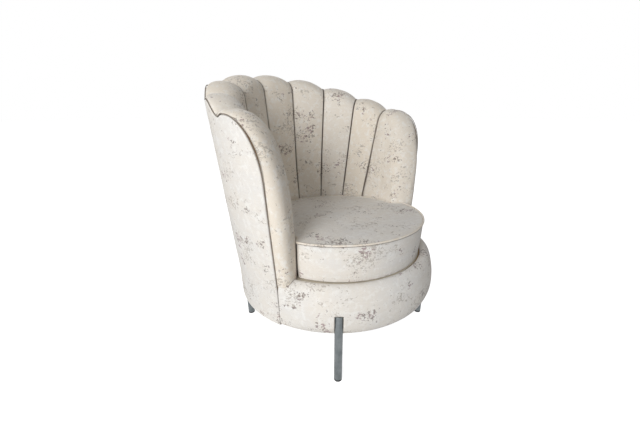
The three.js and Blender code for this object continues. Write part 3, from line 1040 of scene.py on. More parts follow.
    def firmness(self, columns: np.ndarray, seams: np.ndarray) -> np.ndarray:
        """How firmly each point is held while the pad swells.

        Args:
            columns: Angle, radius and height of every point.
            seams: Distance of each column to its seam.

        Returns:
            One value for each point, from 0 to 1.
        """
        form = self.form
        seat, height = form.seat_top, columns[:, :, 2]
        above_seat, run, foot_held, seam_held = 0.06, 0.07, 0.02, 0.0006
        held = np.zeros(columns.shape[:2])
        face_end = self.foot_points + self.face_points + self.inner_points
        outer_end = face_end + self.outer_points - 1
        held[:, face_end:outer_end] = np.linspace(self.soft_edge, self.firm, self.outer_points - 1)
        held[:, outer_end:outer_end + self.edge_points] = self.firm
        held[:, outer_end + self.edge_points:] = 1.0
        low = np.clip((seat + above_seat - height) / run, 0, 1)
        front = np.zeros(columns.shape[:2], bool)
        front[:, :face_end] = True
        held = np.maximum(held, np.where(front | (height < seat), low * self.seat_firm, 0))
        held = np.maximum(held, np.where(height < form.drum_top + foot_held, 1.0, 0.0))
        held[seams < seam_held] = 1.0
        held[0], held[-1] = 1.0, 1.0
        return held

    def pad(self, number: int) -> Piece:
        """One channel's pad.

        Args:
            number: The channel's number, from 1 at the left end to 9 at the right end.

        Returns:
            The finished pad.
        """
        form = self.form
        place = number - 1 - form.last
        ends = abs(place) == form.last
        found = self.end_columns(int(math.copysign(1, place))) if ends else self.middle_columns(place)
        seams = np.array([seam for seam, _ in found])
        columns = np.array([points for _, points in found])
        sections = np.array([[form.point(*point) for point in points] for points in columns])
        # Painted shade: darkest on the seams and wider low down; the end pads also get it where they stand on
        # the border.
        low = np.clip((self.painted_shade_rise - columns[:, :, 2]) / self.painted_shade_run, 0, 1)
        painted_shade = np.exp(-(seams[:, None] / (self.painted_shade_width * (1 + low))) ** 2)
        if ends:
            foot = np.array([[self.foot(angle, radius) for angle, radius, _ in points] for points in columns])
            rise = (columns[:, :, 2] - foot) / self.painted_shade_width
            painted_shade = np.maximum(painted_shade, self.foot_painted_shade * np.exp(-rise ** 2))
        tone = self.tone * (1 + noise.noise(Vector((number * self.tone_step, 0.3, 0.9))))
        masks = {"painted_shade": painted_shade, "tone": np.full(columns.shape[:2], tone)}
        cut_from = [self.cut_step * number, 0.0]
        piece = Loft(sections, cloth_places(sections) + cut_from, masks=masks).build(f"pad_{number}")
        held = self.firmness(columns, seams).ravel()
        hold(piece, held)
        places = coordinates(piece.data)
        move_vertices(piece.data, places - normals(piece.data) * (self.slack * (1 - held))[:, None])
        self.filling.swell(piece)
        soften(piece, *self.uneven, self.first_seed + number, 1 - held)
        self.pucker(piece, held, np.repeat(seams, columns.shape[1]), number)
        refine(piece)
        return piece

    def pucker(self, piece: Piece, held: np.ndarray, away: np.ndarray, number: int) -> None:
        """Gathers the cover a little along its sewn seams.

        Args:
            piece: The pad.
            held: How firmly each point is held.
            away: Distance of each point to its seam.
            number: The channel's number, which gives each pad its own folds.
        """
        places = coordinates(piece.data)
        middle, reach = self.gather_place
        pull = np.exp(-((away - middle) / reach) ** 2) * (1 - held)
        height = places[:, 2] / self.gather_length
        wave = np.array([noise.noise(Vector((number * self.gather_step, z, 0.0))) for z in height])
        depth = self.gather * pull * wave
        move_vertices(piece.data, places + normals(piece.data) * depth[:, None])

    def build(self) -> list[Piece]:
        """Makes the nine pads.

        Returns:
            The pads, from the left end to the right end.
        """
        pieces = []
        for number in range(1, self.form.channels + 1):
            piece = self.pad(number)
            dress(piece, self.fabric, Body.CHAIR, f"channel_{number}", Slot.FABRIC)
            pieces.append(piece)
        return pieces


@dataclass
class OuterPanel:
    """The smooth padded panel over the outside of the back and the drum's side."""

    form: ChairForm
    fabric: Material
    thickness: float = 0.006
    rows: int = 64
    step: float = 1.35
    rim_heights: tuple[float, ...] = (0.0, 0.0012, 0.0026, 0.0045)
    rim_end: float = 0.009
    top_round: float = 0.0045
    foot_round: float = 0.0055
    tuck: float = 0.0022
    cover: Cover = Cover("outer_panel", tone=0.75, uneven=(0.0011, 0.11), seed=3.3)
    filling: Filling = Filling(pressure=3.0, most=0.0022, frames=14)

    def build(self) -> Piece:
        """Makes the panel.

        Returns:
            The finished panel.
        """
        form, near = self.form, np.array(self.rim_heights)
        foot = form.drum_bottom - form.room
        sections, held = [], []
        for angle in column_angles(-form.welt_end, form.welt_end, self.step, (-45, 45)):
            top = form.welt(angle)
            edge = math.radians(form.welt_end - abs(angle)) * form.drum_radius
            middle = np.linspace(self.rim_end, top - foot - self.rim_end, self.rows)
            heights = foot + np.concatenate([near, middle, (top - foot) - near[::-1]])
            outer, inner, firm = [], [], []
            for z in heights:
                back = max(
                    rounding(top - z, self.top_round), rounding(z - foot, self.foot_round),
                    rounding(edge, self.top_round),
                )
                outer.append(form.point(angle, form.shell(z) - back, z))
                inner.append(form.point(angle, form.shell(z) - self.thickness, z))
                firm.append(self.cover.firmness(min(top - z, z - foot, edge)))
            sections.append(outer + inner[::-1])
            held.append(firm + [1.0] * len(firm))
        grid, weights = np.array(sections), np.array(held).ravel()
        # Painted shade at the panel's front edges and along its top edge under the welt.
        painted_shade = np.zeros(grid.shape[:2])
        half = grid.shape[1] // 2
        painted_shade[[0, -1]] = painted_shade[:, half - 1:half + 1] = self.cover.painted_shade
        masks = {"painted_shade": painted_shade, "tone": np.full(painted_shade.shape, self.cover.tone)}
        piece = Loft(grid, cloth_places(grid), masks=masks).build("outer_cover")
        return self.cover.finish(form, piece, weights, self.filling, self.tuck, self.fabric)


@dataclass
class BackWelt:
    """The thin sewn welt along the outer panel's edge, over the scalloped rim and down both front edges."""

    form: ChairForm
    fabric: Material
    radius: float = 0.0013
    lift: float = 0.0020
    spacing: float = 0.0036
    sides: int = 12
    foot: float = 0.002
    rim_step: float = 0.4
    roll_points: int = 60
    roll_crowding: float = 2.4
    front_points: int = 40

    def path(self) -> np.ndarray:
        """Points of the welt's middle line.

        Returns:
            Rows of x, y, z, evenly spaced from one front edge over the rim to the other.
        """
        form = self.form
        shares = 1 - np.linspace(1, 0, self.roll_points) ** self.roll_crowding
        rolled = form.roll_start + (form.welt_end - form.roll_start) * shares
        angles = np.concatenate([np.arange(0, form.roll_start, self.rim_step), rolled])
        outline = [(angle, form.welt(angle)) for angle in angles]
        low = form.drum_top + self.foot
        outline += [(form.welt_end, z) for z in np.linspace(form.welt_shoulder, low, self.front_points)[1:]]
        outline = [(-angle, z) for angle, z in outline[:0:-1]] + outline
        flat = np.array([(math.radians(angle) * form.shell(z), z) for angle, z in outline])
        ahead = np.gradient(flat, axis=0)
        ahead /= np.linalg.norm(ahead, axis=1)[:, None]
        lifted = flat + np.stack([-ahead[:, 1], ahead[:, 0]], 1) * self.lift
        places = []
        for run, z in lifted:
            angle = math.degrees(run / form.shell(z))
            places.append(form.point(angle, form.shell(z) - form.welt_setback + form.room + self.radius, z))
        line = np.array(places)
        return spaced(line, round(lengths_along(line)[-1] / self.spacing))

    def build(self) -> Piece:
        """Makes the welt.

        Returns:
            The finished welt.
        """
        line = self.path()
        outwards = (line - [0.0, self.form.axis_y, 0.0]) * [1, 1, 0]
        outwards /= np.linalg.norm(outwards, axis=1)[:, None]
        piece = tube_along(line, self.radius, self.sides, False, outwards).build("rim_welt")
        dress(piece, self.fabric, Body.CHAIR, "back_welt", Slot.FABRIC)
        return piece


# Drum.


@dataclass
class FrontBorder:
    """The padded, bulged border round the open front of the drum."""

    form: ChairForm
    fabric: Material
    points: int = 46
    step: float = 1.25
    end_round: float = 0.003
    proud: float = 0.005
    crown_from: int = 8
    blend_angles: tuple[float, float] = (-1.5, 6.0)
    core_out: float = 0.004
    inner_rise: float = 0.0075
    inner_foot: float = 0.006
    line_steps: int = 24
    edge_share: float = 0.12
    tuck: float = 0.0022
    cover: Cover = Cover("base_border", tone=0.8, uneven=(0.0013, 0.09), seed=7.7)
    filling: Filling = Filling(pressure=3.0, most=0.0025, frames=14)

    @staticmethod
    def outline(form: ChairForm, angle: float) -> np.ndarray:
        """Radius and height of the padded outside, from the underside over the bulge to the crown.

        Args:
            form: The chair's sizes.
            angle: Angle of the section; beside and under the rolls it is upright and square-shouldered.

        Returns:
            Rows of radius and height.
        """
        free = np.array([
            (0.0, 0.02), (0.26, 0.0), (0.53, 0.03), (0.76, 0.11), (0.91, 0.21), (0.97, 0.33),
            (0.95, 0.48), (0.86, 0.64), (0.65, 0.81), (0.37, 0.97), (0.05, 1.06), (-0.38, 1.11),
            (-0.78, 1.11), (-1.1, 1.08),
        ])
        square = np.array([
            (0.0, 0.02), (0.26, 0.0), (0.53, 0.02), (0.72, 0.09), (0.78, 0.20), (0.79, 0.33),
            (0.79, 0.52), (0.79, 0.74), (0.77, 0.92), (0.60, 1.03), (0.25, 1.08), (-0.25, 1.11),
            (-0.72, 1.11), (-1.1, 1.08),
        ])
        away = abs(math.remainder(angle, 360)) - form.roll_end
        shares = square + (free - square) * smoothstep(*FrontBorder.blend_angles, away)
        inner = form.hoop_outer + form.border_gap
        wide, tall = form.drum_radius + FrontBorder.proud - inner, form.drum_top - form.drum_bottom
        return np.stack([inner + wide * shares[:, 0], form.drum_bottom + tall * shares[:, 1]], 1)

    @staticmethod
    def crown_at(form: ChairForm, angle: float, radius: float) -> float:
        """Height of the border's upper side at a place."""
        upper = FrontBorder.outline(form, angle)[FrontBorder.crown_from:][::-1]
        return float(np.interp(radius, upper[:, 0], upper[:, 1]))

    def smooth_line(self, corners: np.ndarray) -> np.ndarray:
        """An even, rounded line through corner points.

        Args:
            corners: Rows of the points that it passes through.

        Returns:
            Rows of its points.
        """
        ends = np.concatenate([[2 * corners[0] - corners[1]], corners, [2 * corners[-1] - corners[-2]]])
        fine = []
        for k in range(1, len(ends) - 2):
            before, here, after, beyond = ends[k - 1:k + 3]
            for t in np.linspace(0, 1, self.line_steps, endpoint=False):
                fine.append(0.5 * (
                    2 * here + (after - before) * t + (2 * before - 5 * here + 4 * after - beyond) * t * t
                    + (3 * here - before - 3 * after + beyond) * t ** 3
                ))
        return spaced(np.array(fine + [corners[-1]]), self.points)

    def build(self) -> Piece:
        """Makes the border.

        Returns:
            The finished border.
        """
        form = self.form
        low, behind = form.drum_top + form.room, form.hoop_outer + form.border_gap
        inner = spaced(np.array([
            (form.deck_radius, form.drum_top + self.inner_rise), (form.deck_radius, low), (behind, low),
            (behind, form.drum_bottom + self.inner_foot),
        ]), self.points)
        start, end = form.welt_end + form.border_away, 360 - form.welt_end - form.border_away
        middle = np.array([form.hoop_outer + self.core_out, (form.drum_bottom + form.drum_top) / 2])
        rise = np.linspace(0, 1, self.points)
        ends_held = 1 - np.clip(np.minimum(rise, 1 - rise) / self.edge_share, 0, 1)
        sections, held = [], []
        for angle in column_angles(start, end, self.step, (135, 225)):
            edge = math.radians(min(angle - start, end - angle)) * form.drum_radius
            ring = np.concatenate([self.smooth_line(self.outline(form, angle)), inner])
            toward = middle - ring[:self.points]
            toward /= np.linalg.norm(toward, axis=1)[:, None]
            ring[:self.points] += toward * rounding(edge, self.end_round)
            sections.append([form.point(angle, r, z) for r, z in ring])
            firm = np.maximum(self.cover.firmness(edge), ends_held)
            held.append(np.concatenate([firm, np.ones(self.points)]))
        grid, weights = np.array(sections), np.array(held).ravel()
        # Painted shade at the border's two ends, where it meets the outer panel.
        painted_shade = np.zeros(grid.shape[:2])
        painted_shade[[0, -1]] = self.cover.painted_shade
        masks = {"painted_shade": painted_shade, "tone": np.full(painted_shade.shape, self.cover.tone)}
        piece = Loft(grid, cloth_places(grid), masks=masks).build("front_border")
        return self.cover.finish(form, piece, weights, self.filling, self.tuck, self.fabric)


@dataclass
class SteelLegs:
    """Four upright steel tubes let into the drum's side, each with a glide."""

    form: ChairForm
    steel: Material
    plastic: Material
    radius: float = 0.0125
    wall: float = 0.0015
    cap: float = 0.0020
    top: float = 0.240
    centre: float = 0.344
    glide_height: float = 0.006
    plug: float = 0.014
    gap: float = 0.0003
    angles: tuple[float, ...] = (45.0, 135.0, 225.0, 315.0)
    channel_room: float = 0.0006
    channel_past: float = 0.03
    tuck_reach: float = 0.0035
    skin_depth: float = 0.0045
    top_ease: float = 0.0011
    foot_ease: float = 0.0004
    glide_ease: float = 0.0012
    rim_ease: float = 0.0003
    sides: int = 72
    channel_sides: int = 64

    @staticmethod
    def places(form: ChairForm) -> dict[str, tuple[float, float]]:
        """Middle of each leg on the floor.

        Args:
            form: The chair's sizes.

        Returns:
            The x and y of each leg by its name.
        """
        names = ("rear_right", "front_right", "front_left", "rear_left")
        return {
            name: form.point(angle, SteelLegs.centre, 0.0)[:2] for name, angle in zip(names, SteelLegs.angles)
        }

    @staticmethod
    def notch(form: ChairForm, cover: Piece, tuck: float) -> None:
        """Lets the legs into a cover: it is pulled in round each tube, and an open channel cut for the tube.

        Args:
            form: The chair's sizes.
            cover: The padded cover.
            tuck: How far the cover is pulled in at the tube.
        """
        places = coordinates(cover.data)
        axis = np.array([0.0, form.axis_y])
        for x, y in SteelLegs.places(form).values():
            side = np.linalg.norm(places[:, :2] - [x, y], axis=1) - SteelLegs.radius
            above = np.maximum(places[:, 2] - SteelLegs.top, 0)
            away = np.hypot(np.maximum(side, 0), above)
            pull = tuck * np.exp(-(away / SteelLegs.tuck_reach) ** 2)
            inwards = axis - places[:, :2]
            inwards /= np.linalg.norm(inwards, axis=1)[:, None]
            outer = np.linalg.norm(places[:, :2] - axis, axis=1) > form.drum_radius - SteelLegs.skin_depth
            places[:, :2] += inwards * (pull * outer)[:, None]
        move_vertices(cover.data, places)
        high = SteelLegs.top + SteelLegs.channel_room
        low = form.drum_bottom - SteelLegs.channel_past
        for x, y in SteelLegs.places(form).values():
            bpy.ops.object.select_all(action="DESELECT")
            bpy.ops.mesh.primitive_cylinder_add(
                vertices=SteelLegs.channel_sides, radius=SteelLegs.radius + SteelLegs.channel_room,
                depth=high - low, location=(x, y, (high + low) / 2),
                rotation=(0, 0, -math.atan2(x, y - form.axis_y)),
            )
            cutter = bpy.context.object
            room = coordinates(cutter.data)
            room[room[:, 1] > SteelLegs.gap, 1] += SteelLegs.radius
            move_vertices(cutter.data, room)
            cut = cover.modifiers.new("leg_room", "BOOLEAN")
            cut.operation = "DIFFERENCE"
            cut.solver = "EXACT"
            cut.object = cutter
            settle(cover)
            bpy.data.objects.remove(cutter)

    def tube(self) -> Piece:
        """One tube at the middle of the floor: closed at the top, open at the foot, its rims eased.

        Returns:
            The tube that the four are copied from.
        """
        foot = self.glide_height + self.gap
        tube = self.rod(foot, self.top)
        select_faces(tube, lambda face: face.normal.z < -0.9)
        bpy.ops.mesh.inset(thickness=self.wall, depth=0)
        bpy.ops.mesh.extrude_region_move(TRANSFORM_OT_translate={"value": (0, 0, self.top - self.cap - foot)})
        select_edges(tube, lambda a, b: min(a.z, b.z) > self.top - TINY)
        bpy.ops.mesh.bevel(offset=self.top_ease, segments=4, affect="EDGES")
        select_edges(tube, lambda a, b: max(a.z, b.z) < foot + TINY and self.outside(a))
        bpy.ops.mesh.bevel(offset=self.foot_ease, segments=2, affect="EDGES")
        bpy.ops.object.mode_set(mode="OBJECT")
        return tube

    def rod(self, low: float, high: float) -> Piece:
        """A round rod of the tube's radius at the middle of the floor, open in edit mode.

        Args:
            low: Height of its foot.
            high: Height of its top.

        Returns:
            The rod.
        """
        bpy.ops.object.select_all(action="DESELECT")
        bpy.ops.mesh.primitive_cylinder_add(
            vertices=self.sides, radius=self.radius, depth=high - low, location=(0, 0, (high + low) / 2),
        )
        rod = bpy.context.object
        place_in_mesh(rod)
        bpy.ops.object.mode_set(mode="EDIT")
        return rod

    def outside(self, point: Vector) -> bool:
        """Whether a point lies on the tube's outer wall."""
        return math.hypot(point.x, point.y) > self.radius - 10 * TINY

    def glide(self) -> Piece:
        """One glide at the middle of the floor: a disc with an eased foot and a plug that fills the tube.

        Returns:
            The glide that the four are copied from.
        """
        rim = self.glide_height
        glide = self.rod(0.0, rim)
        select_faces(glide, lambda face: face.normal.z > 0.9)
        bpy.ops.mesh.inset(thickness=self.wall + self.gap, depth=0)
        bpy.ops.mesh.extrude_region_move(TRANSFORM_OT_translate={"value": (0, 0, self.plug)})
        select_edges(glide, lambda a, b: max(a.z, b.z) < TINY)
        bpy.ops.mesh.bevel(offset=self.glide_ease, segments=4, affect="EDGES")
        select_edges(glide, lambda a, b: abs(a.z - rim) + abs(b.z - rim) < TINY and self.outside(a))
        bpy.ops.mesh.bevel(offset=self.rim_ease, segments=2, affect="EDGES")
        bpy.ops.object.mode_set(mode="OBJECT")
        return glide

    def build(self) -> list[Piece]:
        """Makes the four tubes and glides.

        Returns:
            The tubes and then the glides.
        """
        pieces = []
        masters = (
            (self.tube(), "tube", "leg", self.steel, Slot.STEEL),
            (self.glide(), "foot", "glide", self.plastic, Slot.GLIDE),
        )
        for master, title, node, finish, slot in masters:
            for place, (x, y) in self.places(self.form).items():
                mesh = master.data.copy()
                angle = math.atan2(x, y - self.form.axis_y)
                mesh.transform(Matrix.Translation((x, y, 0)) @ Matrix.Rotation(-angle, 4, "Z"))
                piece = link_piece(f"{title}_{place}", mesh)
                dress(piece, finish, Body.CHAIR, f"{node}_{place}", slot, METAL_ANGLE)
                pieces.append(piece)
            bpy.data.objects.remove(master)
        return pieces


def select_faces(piece: Piece, wanted: Callable[[Face], bool]) -> None:
    """Selects the faces of a piece in edit mode that pass a test, and no others.

    Args:
        piece: The piece.
        wanted: The test.
    """
    bpy.ops.mesh.select_mode(type="FACE")
    bpy.ops.mesh.select_all(action="DESELECT")
    bpy.ops.object.mode_set(mode="OBJECT")
    for face in piece.data.polygons:
        face.select = wanted(face)
    bpy.ops.object.mode_set(mode="EDIT")


def select_edges(piece: Piece, wanted: Callable[[Vector, Vector], bool]) -> None:
    """Selects the edges of a piece in edit mode whose two ends pass a test, and no others.

    Args:
        piece: The piece.
        wanted: The test on both ends' places.
    """
    bpy.ops.mesh.select_mode(type="EDGE")
    bpy.ops.mesh.select_all(action="DESELECT")
    bpy.ops.object.mode_set(mode="OBJECT")
    points = piece.data.vertices
    for edge in piece.data.edges:
        a, b = (points[n].co for n in edge.vertices)
        edge.select = wanted(a, b)
    bpy.ops.object.mode_set(mode="EDIT")


# Seat.


@dataclass
class RoundGrid:
    """A disc covered by a grid of four-sided faces, whose outer ring has four times its steps as points."""

    steps: int

    def places(self) -> np.ndarray:
        """Grid points as x and y on a disc of radius 1.

        Returns:
            One x and y for each row and column of the grid.
        """
        line = np.linspace(-1, 1, self.steps + 1)
        a, b = np.meshgrid(line, line, indexing="ij")
        return np.stack([a * np.sqrt(1 - b * b / 2), b * np.sqrt(1 - a * a / 2)], 2)

    def ring(self) -> list[tuple[int, int]]:
        """Grid places of the outer ring, in order.

        Returns:
            The row and column of each point.
        """
        n = self.steps
        first = [(k, 0) for k in range(n)] + [(n, k) for k in range(n)]
        return first + [(n - k, n) for k in range(n)] + [(0, n - k) for k in range(n)]

    def faces(self, start: int, turned: bool) -> list[tuple[int, int, int, int]]:
        """The grid's faces, counted from a first vertex.

        Args:
            start: Number of the grid's first vertex.
            turned: Whether the faces look the other way.

        Returns:
            The vertex numbers of each face.
        """
        wide = self.steps + 1
        found = []
        for i in range(self.steps):
            for j in range(self.steps):
                corner = start + i * wide + j
                face = (corner, corner + wide, corner + wide + 1, corner + 1)
                found.append(face[::-1] if turned else face)
        return found


@dataclass
class SeatCushion:
    """The loose cushion: a crowned top with piping on its edge, an upright border and a flat underside."""

    form: ChairForm
    fabric: Material
    crown: float = 0.012
    rear_drop: float = 0.016
    waist: float = 0.0035
    corner: float = 0.005
    cord: float = 0.003
    steps: int = 64
    slack: float = 0.005
    crown_power: int = 4
    slope_step: float = 0.5
    top_inset: float = 0.0036
    under_inset: float = 0.004
    neck: tuple[tuple[float, float], ...] = (
        (0.0026, 0.0014), (0.0012, 0.0034), (-0.0008, 0.0040), (-0.0016, 0.0054),
    )
    side_span: tuple[float, float] = (0.93, 0.14)
    side_rings: int = 15
    corner_rings: int = 7
    held_from: float = 0.93
    held_rings: int = 5
    side_firm: float = 0.92
    # Painted shade on the first rings of the side, under the piping.
    painted_shade_rings: int = 3
    painted_shade: float = 0.8
    tone: float = 0.8
    uneven: tuple[float, float] = (0.0014, 0.10)
    seed: float = 9.1
    gather: float = 0.0011
    gather_place: tuple[float, float] = (0.012, 0.012)
    gather_turns: float = 14.0
    level: float = 0.6
    cord_points: int = 520
    cord_sides: int = 12
    cord_wander: float = 0.0005
    wander_turns: float = 9.0
    filling: Filling = Filling(pressure=4.0, most=0.007)

    @property
    def edge(self) -> float:
        """Height of the piping."""
        return self.form.seat_top

    def placed(
        self, angles: np.ndarray, inset: float, height: np.ndarray | float, share: np.ndarray | float = 1.0,
    ) -> np.ndarray:
        """Points of the cushion round the drum's axis.

        Args:
            angles: Angle of each point.
            inset: How far the points lie inside the outline.
            height: Height of each point before the cushion is tilted.
            share: Share of the way from the axis to that line.

        Returns:
            Rows of x, y and z in the frame, with the cushion falling a little to the back.
        """
        form, step = self.form, self.slope_step
        foot, gain = form.cushion_foot_forward, form.cushion_forward - form.cushion_foot_forward
        up = np.maximum(0.0, (np.broadcast_to(height, angles.shape) - form.seat_bottom) / form.seat_thickness)
        rows = []
        for angle, rise in zip(angles, up):
            push = foot + gain * min(1.0, rise)
            reach, ahead, behind = (
                form.seat_reach(angle + turn, form.cushion_radius, push) for turn in (0.0, step, -step)
            )
            slope = (ahead - behind) / (2 * math.radians(step) * reach)
            rows.append(reach - inset * math.hypot(1.0, slope))
        out = np.array(rows) * share
        turn = np.radians(angles)
        x, y = out * np.sin(turn), out * np.cos(turn)
        z = height - self.rear_drop * up * (y / form.cushion_radius + 1) / 2
        return np.stack([x, y + form.axis_y, z], 1)

    def side_profile(self) -> list[tuple[float, float]]:
        """Inset and height of the rings from the piping down to the underside's edge.

        Returns:
            The rings' insets and heights from the top down.
        """
        form, bottom = self.form, self.form.seat_bottom
        rings = [(self.cord + out, self.edge - down) for out, down in self.neck]
        for share in np.linspace(*self.side_span, self.side_rings):
            out = self.waist * math.sin(math.pi * share) / 2
            rings.append((self.waist - out, bottom + form.seat_thickness * share))
        for turn in np.radians(np.linspace(0, 90, self.corner_rings)):
            inset = self.waist + self.corner * (1 - math.cos(turn))
            rings.append((inset, bottom + self.corner * (1 - math.sin(turn))))
        return rings

    def cushion(self) -> Piece:
        """The stuffed cushion without its piping.

        Returns:
            The cushion, stuffed but not dressed.
        """
        disc = RoundGrid(self.steps)
        flat = disc.places().reshape(-1, 2)
        away = np.linalg.norm(flat, axis=1)
        turn = np.degrees(np.arctan2(flat[:, 0], flat[:, 1]))
        slack = self.slack
        heights = self.edge + (self.crown - slack) * (1 - away ** self.crown_power)
        top = self.placed(turn, self.cord + self.top_inset, heights, away)
        rings = self.side_profile()
        outer = [i * (self.steps + 1) + j for i, j in disc.ring()]
        around = turn[outer]
        sides = [self.placed(around, inset, z) for inset, z in rings]
        under = self.placed(turn, rings[-1][0] + self.under_inset, self.form.seat_bottom, away)
        places = np.concatenate([top, *sides, under])
        firm = np.where(np.arange(len(rings)) < self.held_rings, 1.0, self.side_firm)
        held = np.concatenate([
            smoothstep_rows(self.held_from, 1.0, away), np.repeat(firm, len(around)), np.ones(len(flat)),
        ])
        count, ring = len(flat), len(around)
        faces = disc.faces(0, False)
        loops = [outer] + [list(range(count + k * ring, count + (k + 1) * ring)) for k in range(len(rings))]
        loops.append([count + len(rings) * ring + place for place in outer])
        for above, below in zip(loops, loops[1:]):
            faces += [(above[k], below[k], below[(k + 1) % ring], above[(k + 1) % ring]) for k in range(ring)]
        faces += disc.faces(count + len(rings) * ring, True)
        piece = faced_piece("cushion", places, faces)
        # Painted shade: the side just under the piping is darkened.
        dark = np.zeros(len(places))
        dark[count:count + self.painted_shade_rings * ring] = self.painted_shade
        give_mask(piece.data, "painted_shade", dark)
        give_mask(piece.data, "tone", np.full(len(places), self.tone))
        hold(piece, held)
        self.filling.swell(piece)
        soften(piece, *self.uneven, self.seed, 1 - held)
        self.pucker(piece, away, 1 - held)
        refine(piece)
        self.lay_cloth(piece)
        return piece

    def pucker(self, piece: Piece, away: np.ndarray, free: np.ndarray) -> None:
        """Gathers the top a little along the piping.

        Args:
            piece: The cushion.
            away: Share of the radius at which each point of the top lies.
            free: One value for each vertex, 0 where nothing moves.
        """
        places = coordinates(piece.data)
        turn = np.arctan2(places[:, 0], places[:, 1] - self.form.axis_y)
        wave = self.wander(turn, self.gather_turns, 5.0)
        middle, reach = self.gather_place
        near = np.zeros(len(places))
        near[:len(away)] = np.exp(-(((1 - away) * self.form.cushion_radius - middle) / reach) ** 2)
        move_vertices(piece.data, places + normals(piece.data) * (self.gather * near * free * wave)[:, None])

    @staticmethod
    def wander(turns: np.ndarray, size: float, seed: float) -> np.ndarray:
        """Smooth random values round the cushion that close without a step.

        Args:
            turns: Angles in radians.
            size: Radius of the circle that the values are read from.
            seed: Height of that circle.

        Returns:
            One value from about -1 to 1 for each angle.
        """
        return np.array([noise.noise(Vector((math.cos(t) * size, math.sin(t) * size, seed))) for t in turns])

    def lay_cloth(self, piece: Piece) -> None:
        """Gives each face its cloth coordinates: straight across the top and underside, round the side.

        Args:
            piece: The cushion.
        """
        mesh = piece.data
        places = coordinates(mesh)
        corner = np.empty(len(mesh.loops), np.int32)
        mesh.loops.foreach_get("vertex_index", corner)
        face_normal = np.empty(len(mesh.polygons) * 3)
        mesh.polygons.foreach_get("normal", face_normal)
        total = np.empty(len(mesh.polygons), np.int32)
        mesh.polygons.foreach_get("loop_total", total)
        flat = np.repeat(np.abs(face_normal.reshape(-1, 3)[:, 2]) > self.level, total)
        x, y, z = places[corner, 0], places[corner, 1] - self.form.axis_y, places[corner, 2]
        turn = np.arctan2(x, -y)
        first = np.repeat(turn[np.concatenate([[0], np.cumsum(total)[:-1]])], total)
        turn = turn + 2 * math.pi * np.round((first - turn) / (2 * math.pi))
        uv = np.where(flat[:, None], np.stack([x, y], 1), np.stack([turn * self.form.cushion_radius, z], 1))
        layer = mesh.uv_layers.get("cloth") or mesh.uv_layers.new(name="cloth")
        layer.data.foreach_set("uv", uv.astype(np.float32).ravel())

    def piping(self) -> Piece:
        """The cord in its own cover round the upper edge.

        Returns:
            The cord, not dressed yet.
        """
        line = self.placed(np.linspace(0, 360, 4 * self.cord_points, endpoint=False), self.cord, self.edge)
        line = spaced(np.concatenate([line, line[:1]]), self.cord_points, endpoint=False)
        turn = np.linspace(0, 2 * math.pi, self.cord_points, endpoint=False)
        line[:, 2] += self.cord_wander * self.wander(turn, self.wander_turns, 1.0)
        return tube_along(line, self.cord, self.cord_sides, True).build("cushion_piping")

    def build(self) -> list[Piece]:
        """Makes the cushion and its piping.

        Returns:
            The two pieces.
        """
        cushion, piping = self.cushion(), self.piping()
        for piece, node in ((cushion, "seat_cushion"), (piping, "seat_piping")):
            dress(piece, self.fabric, Body.CUSHION, node, Slot.FABRIC)
        return [cushion, piping]


# Finishes.


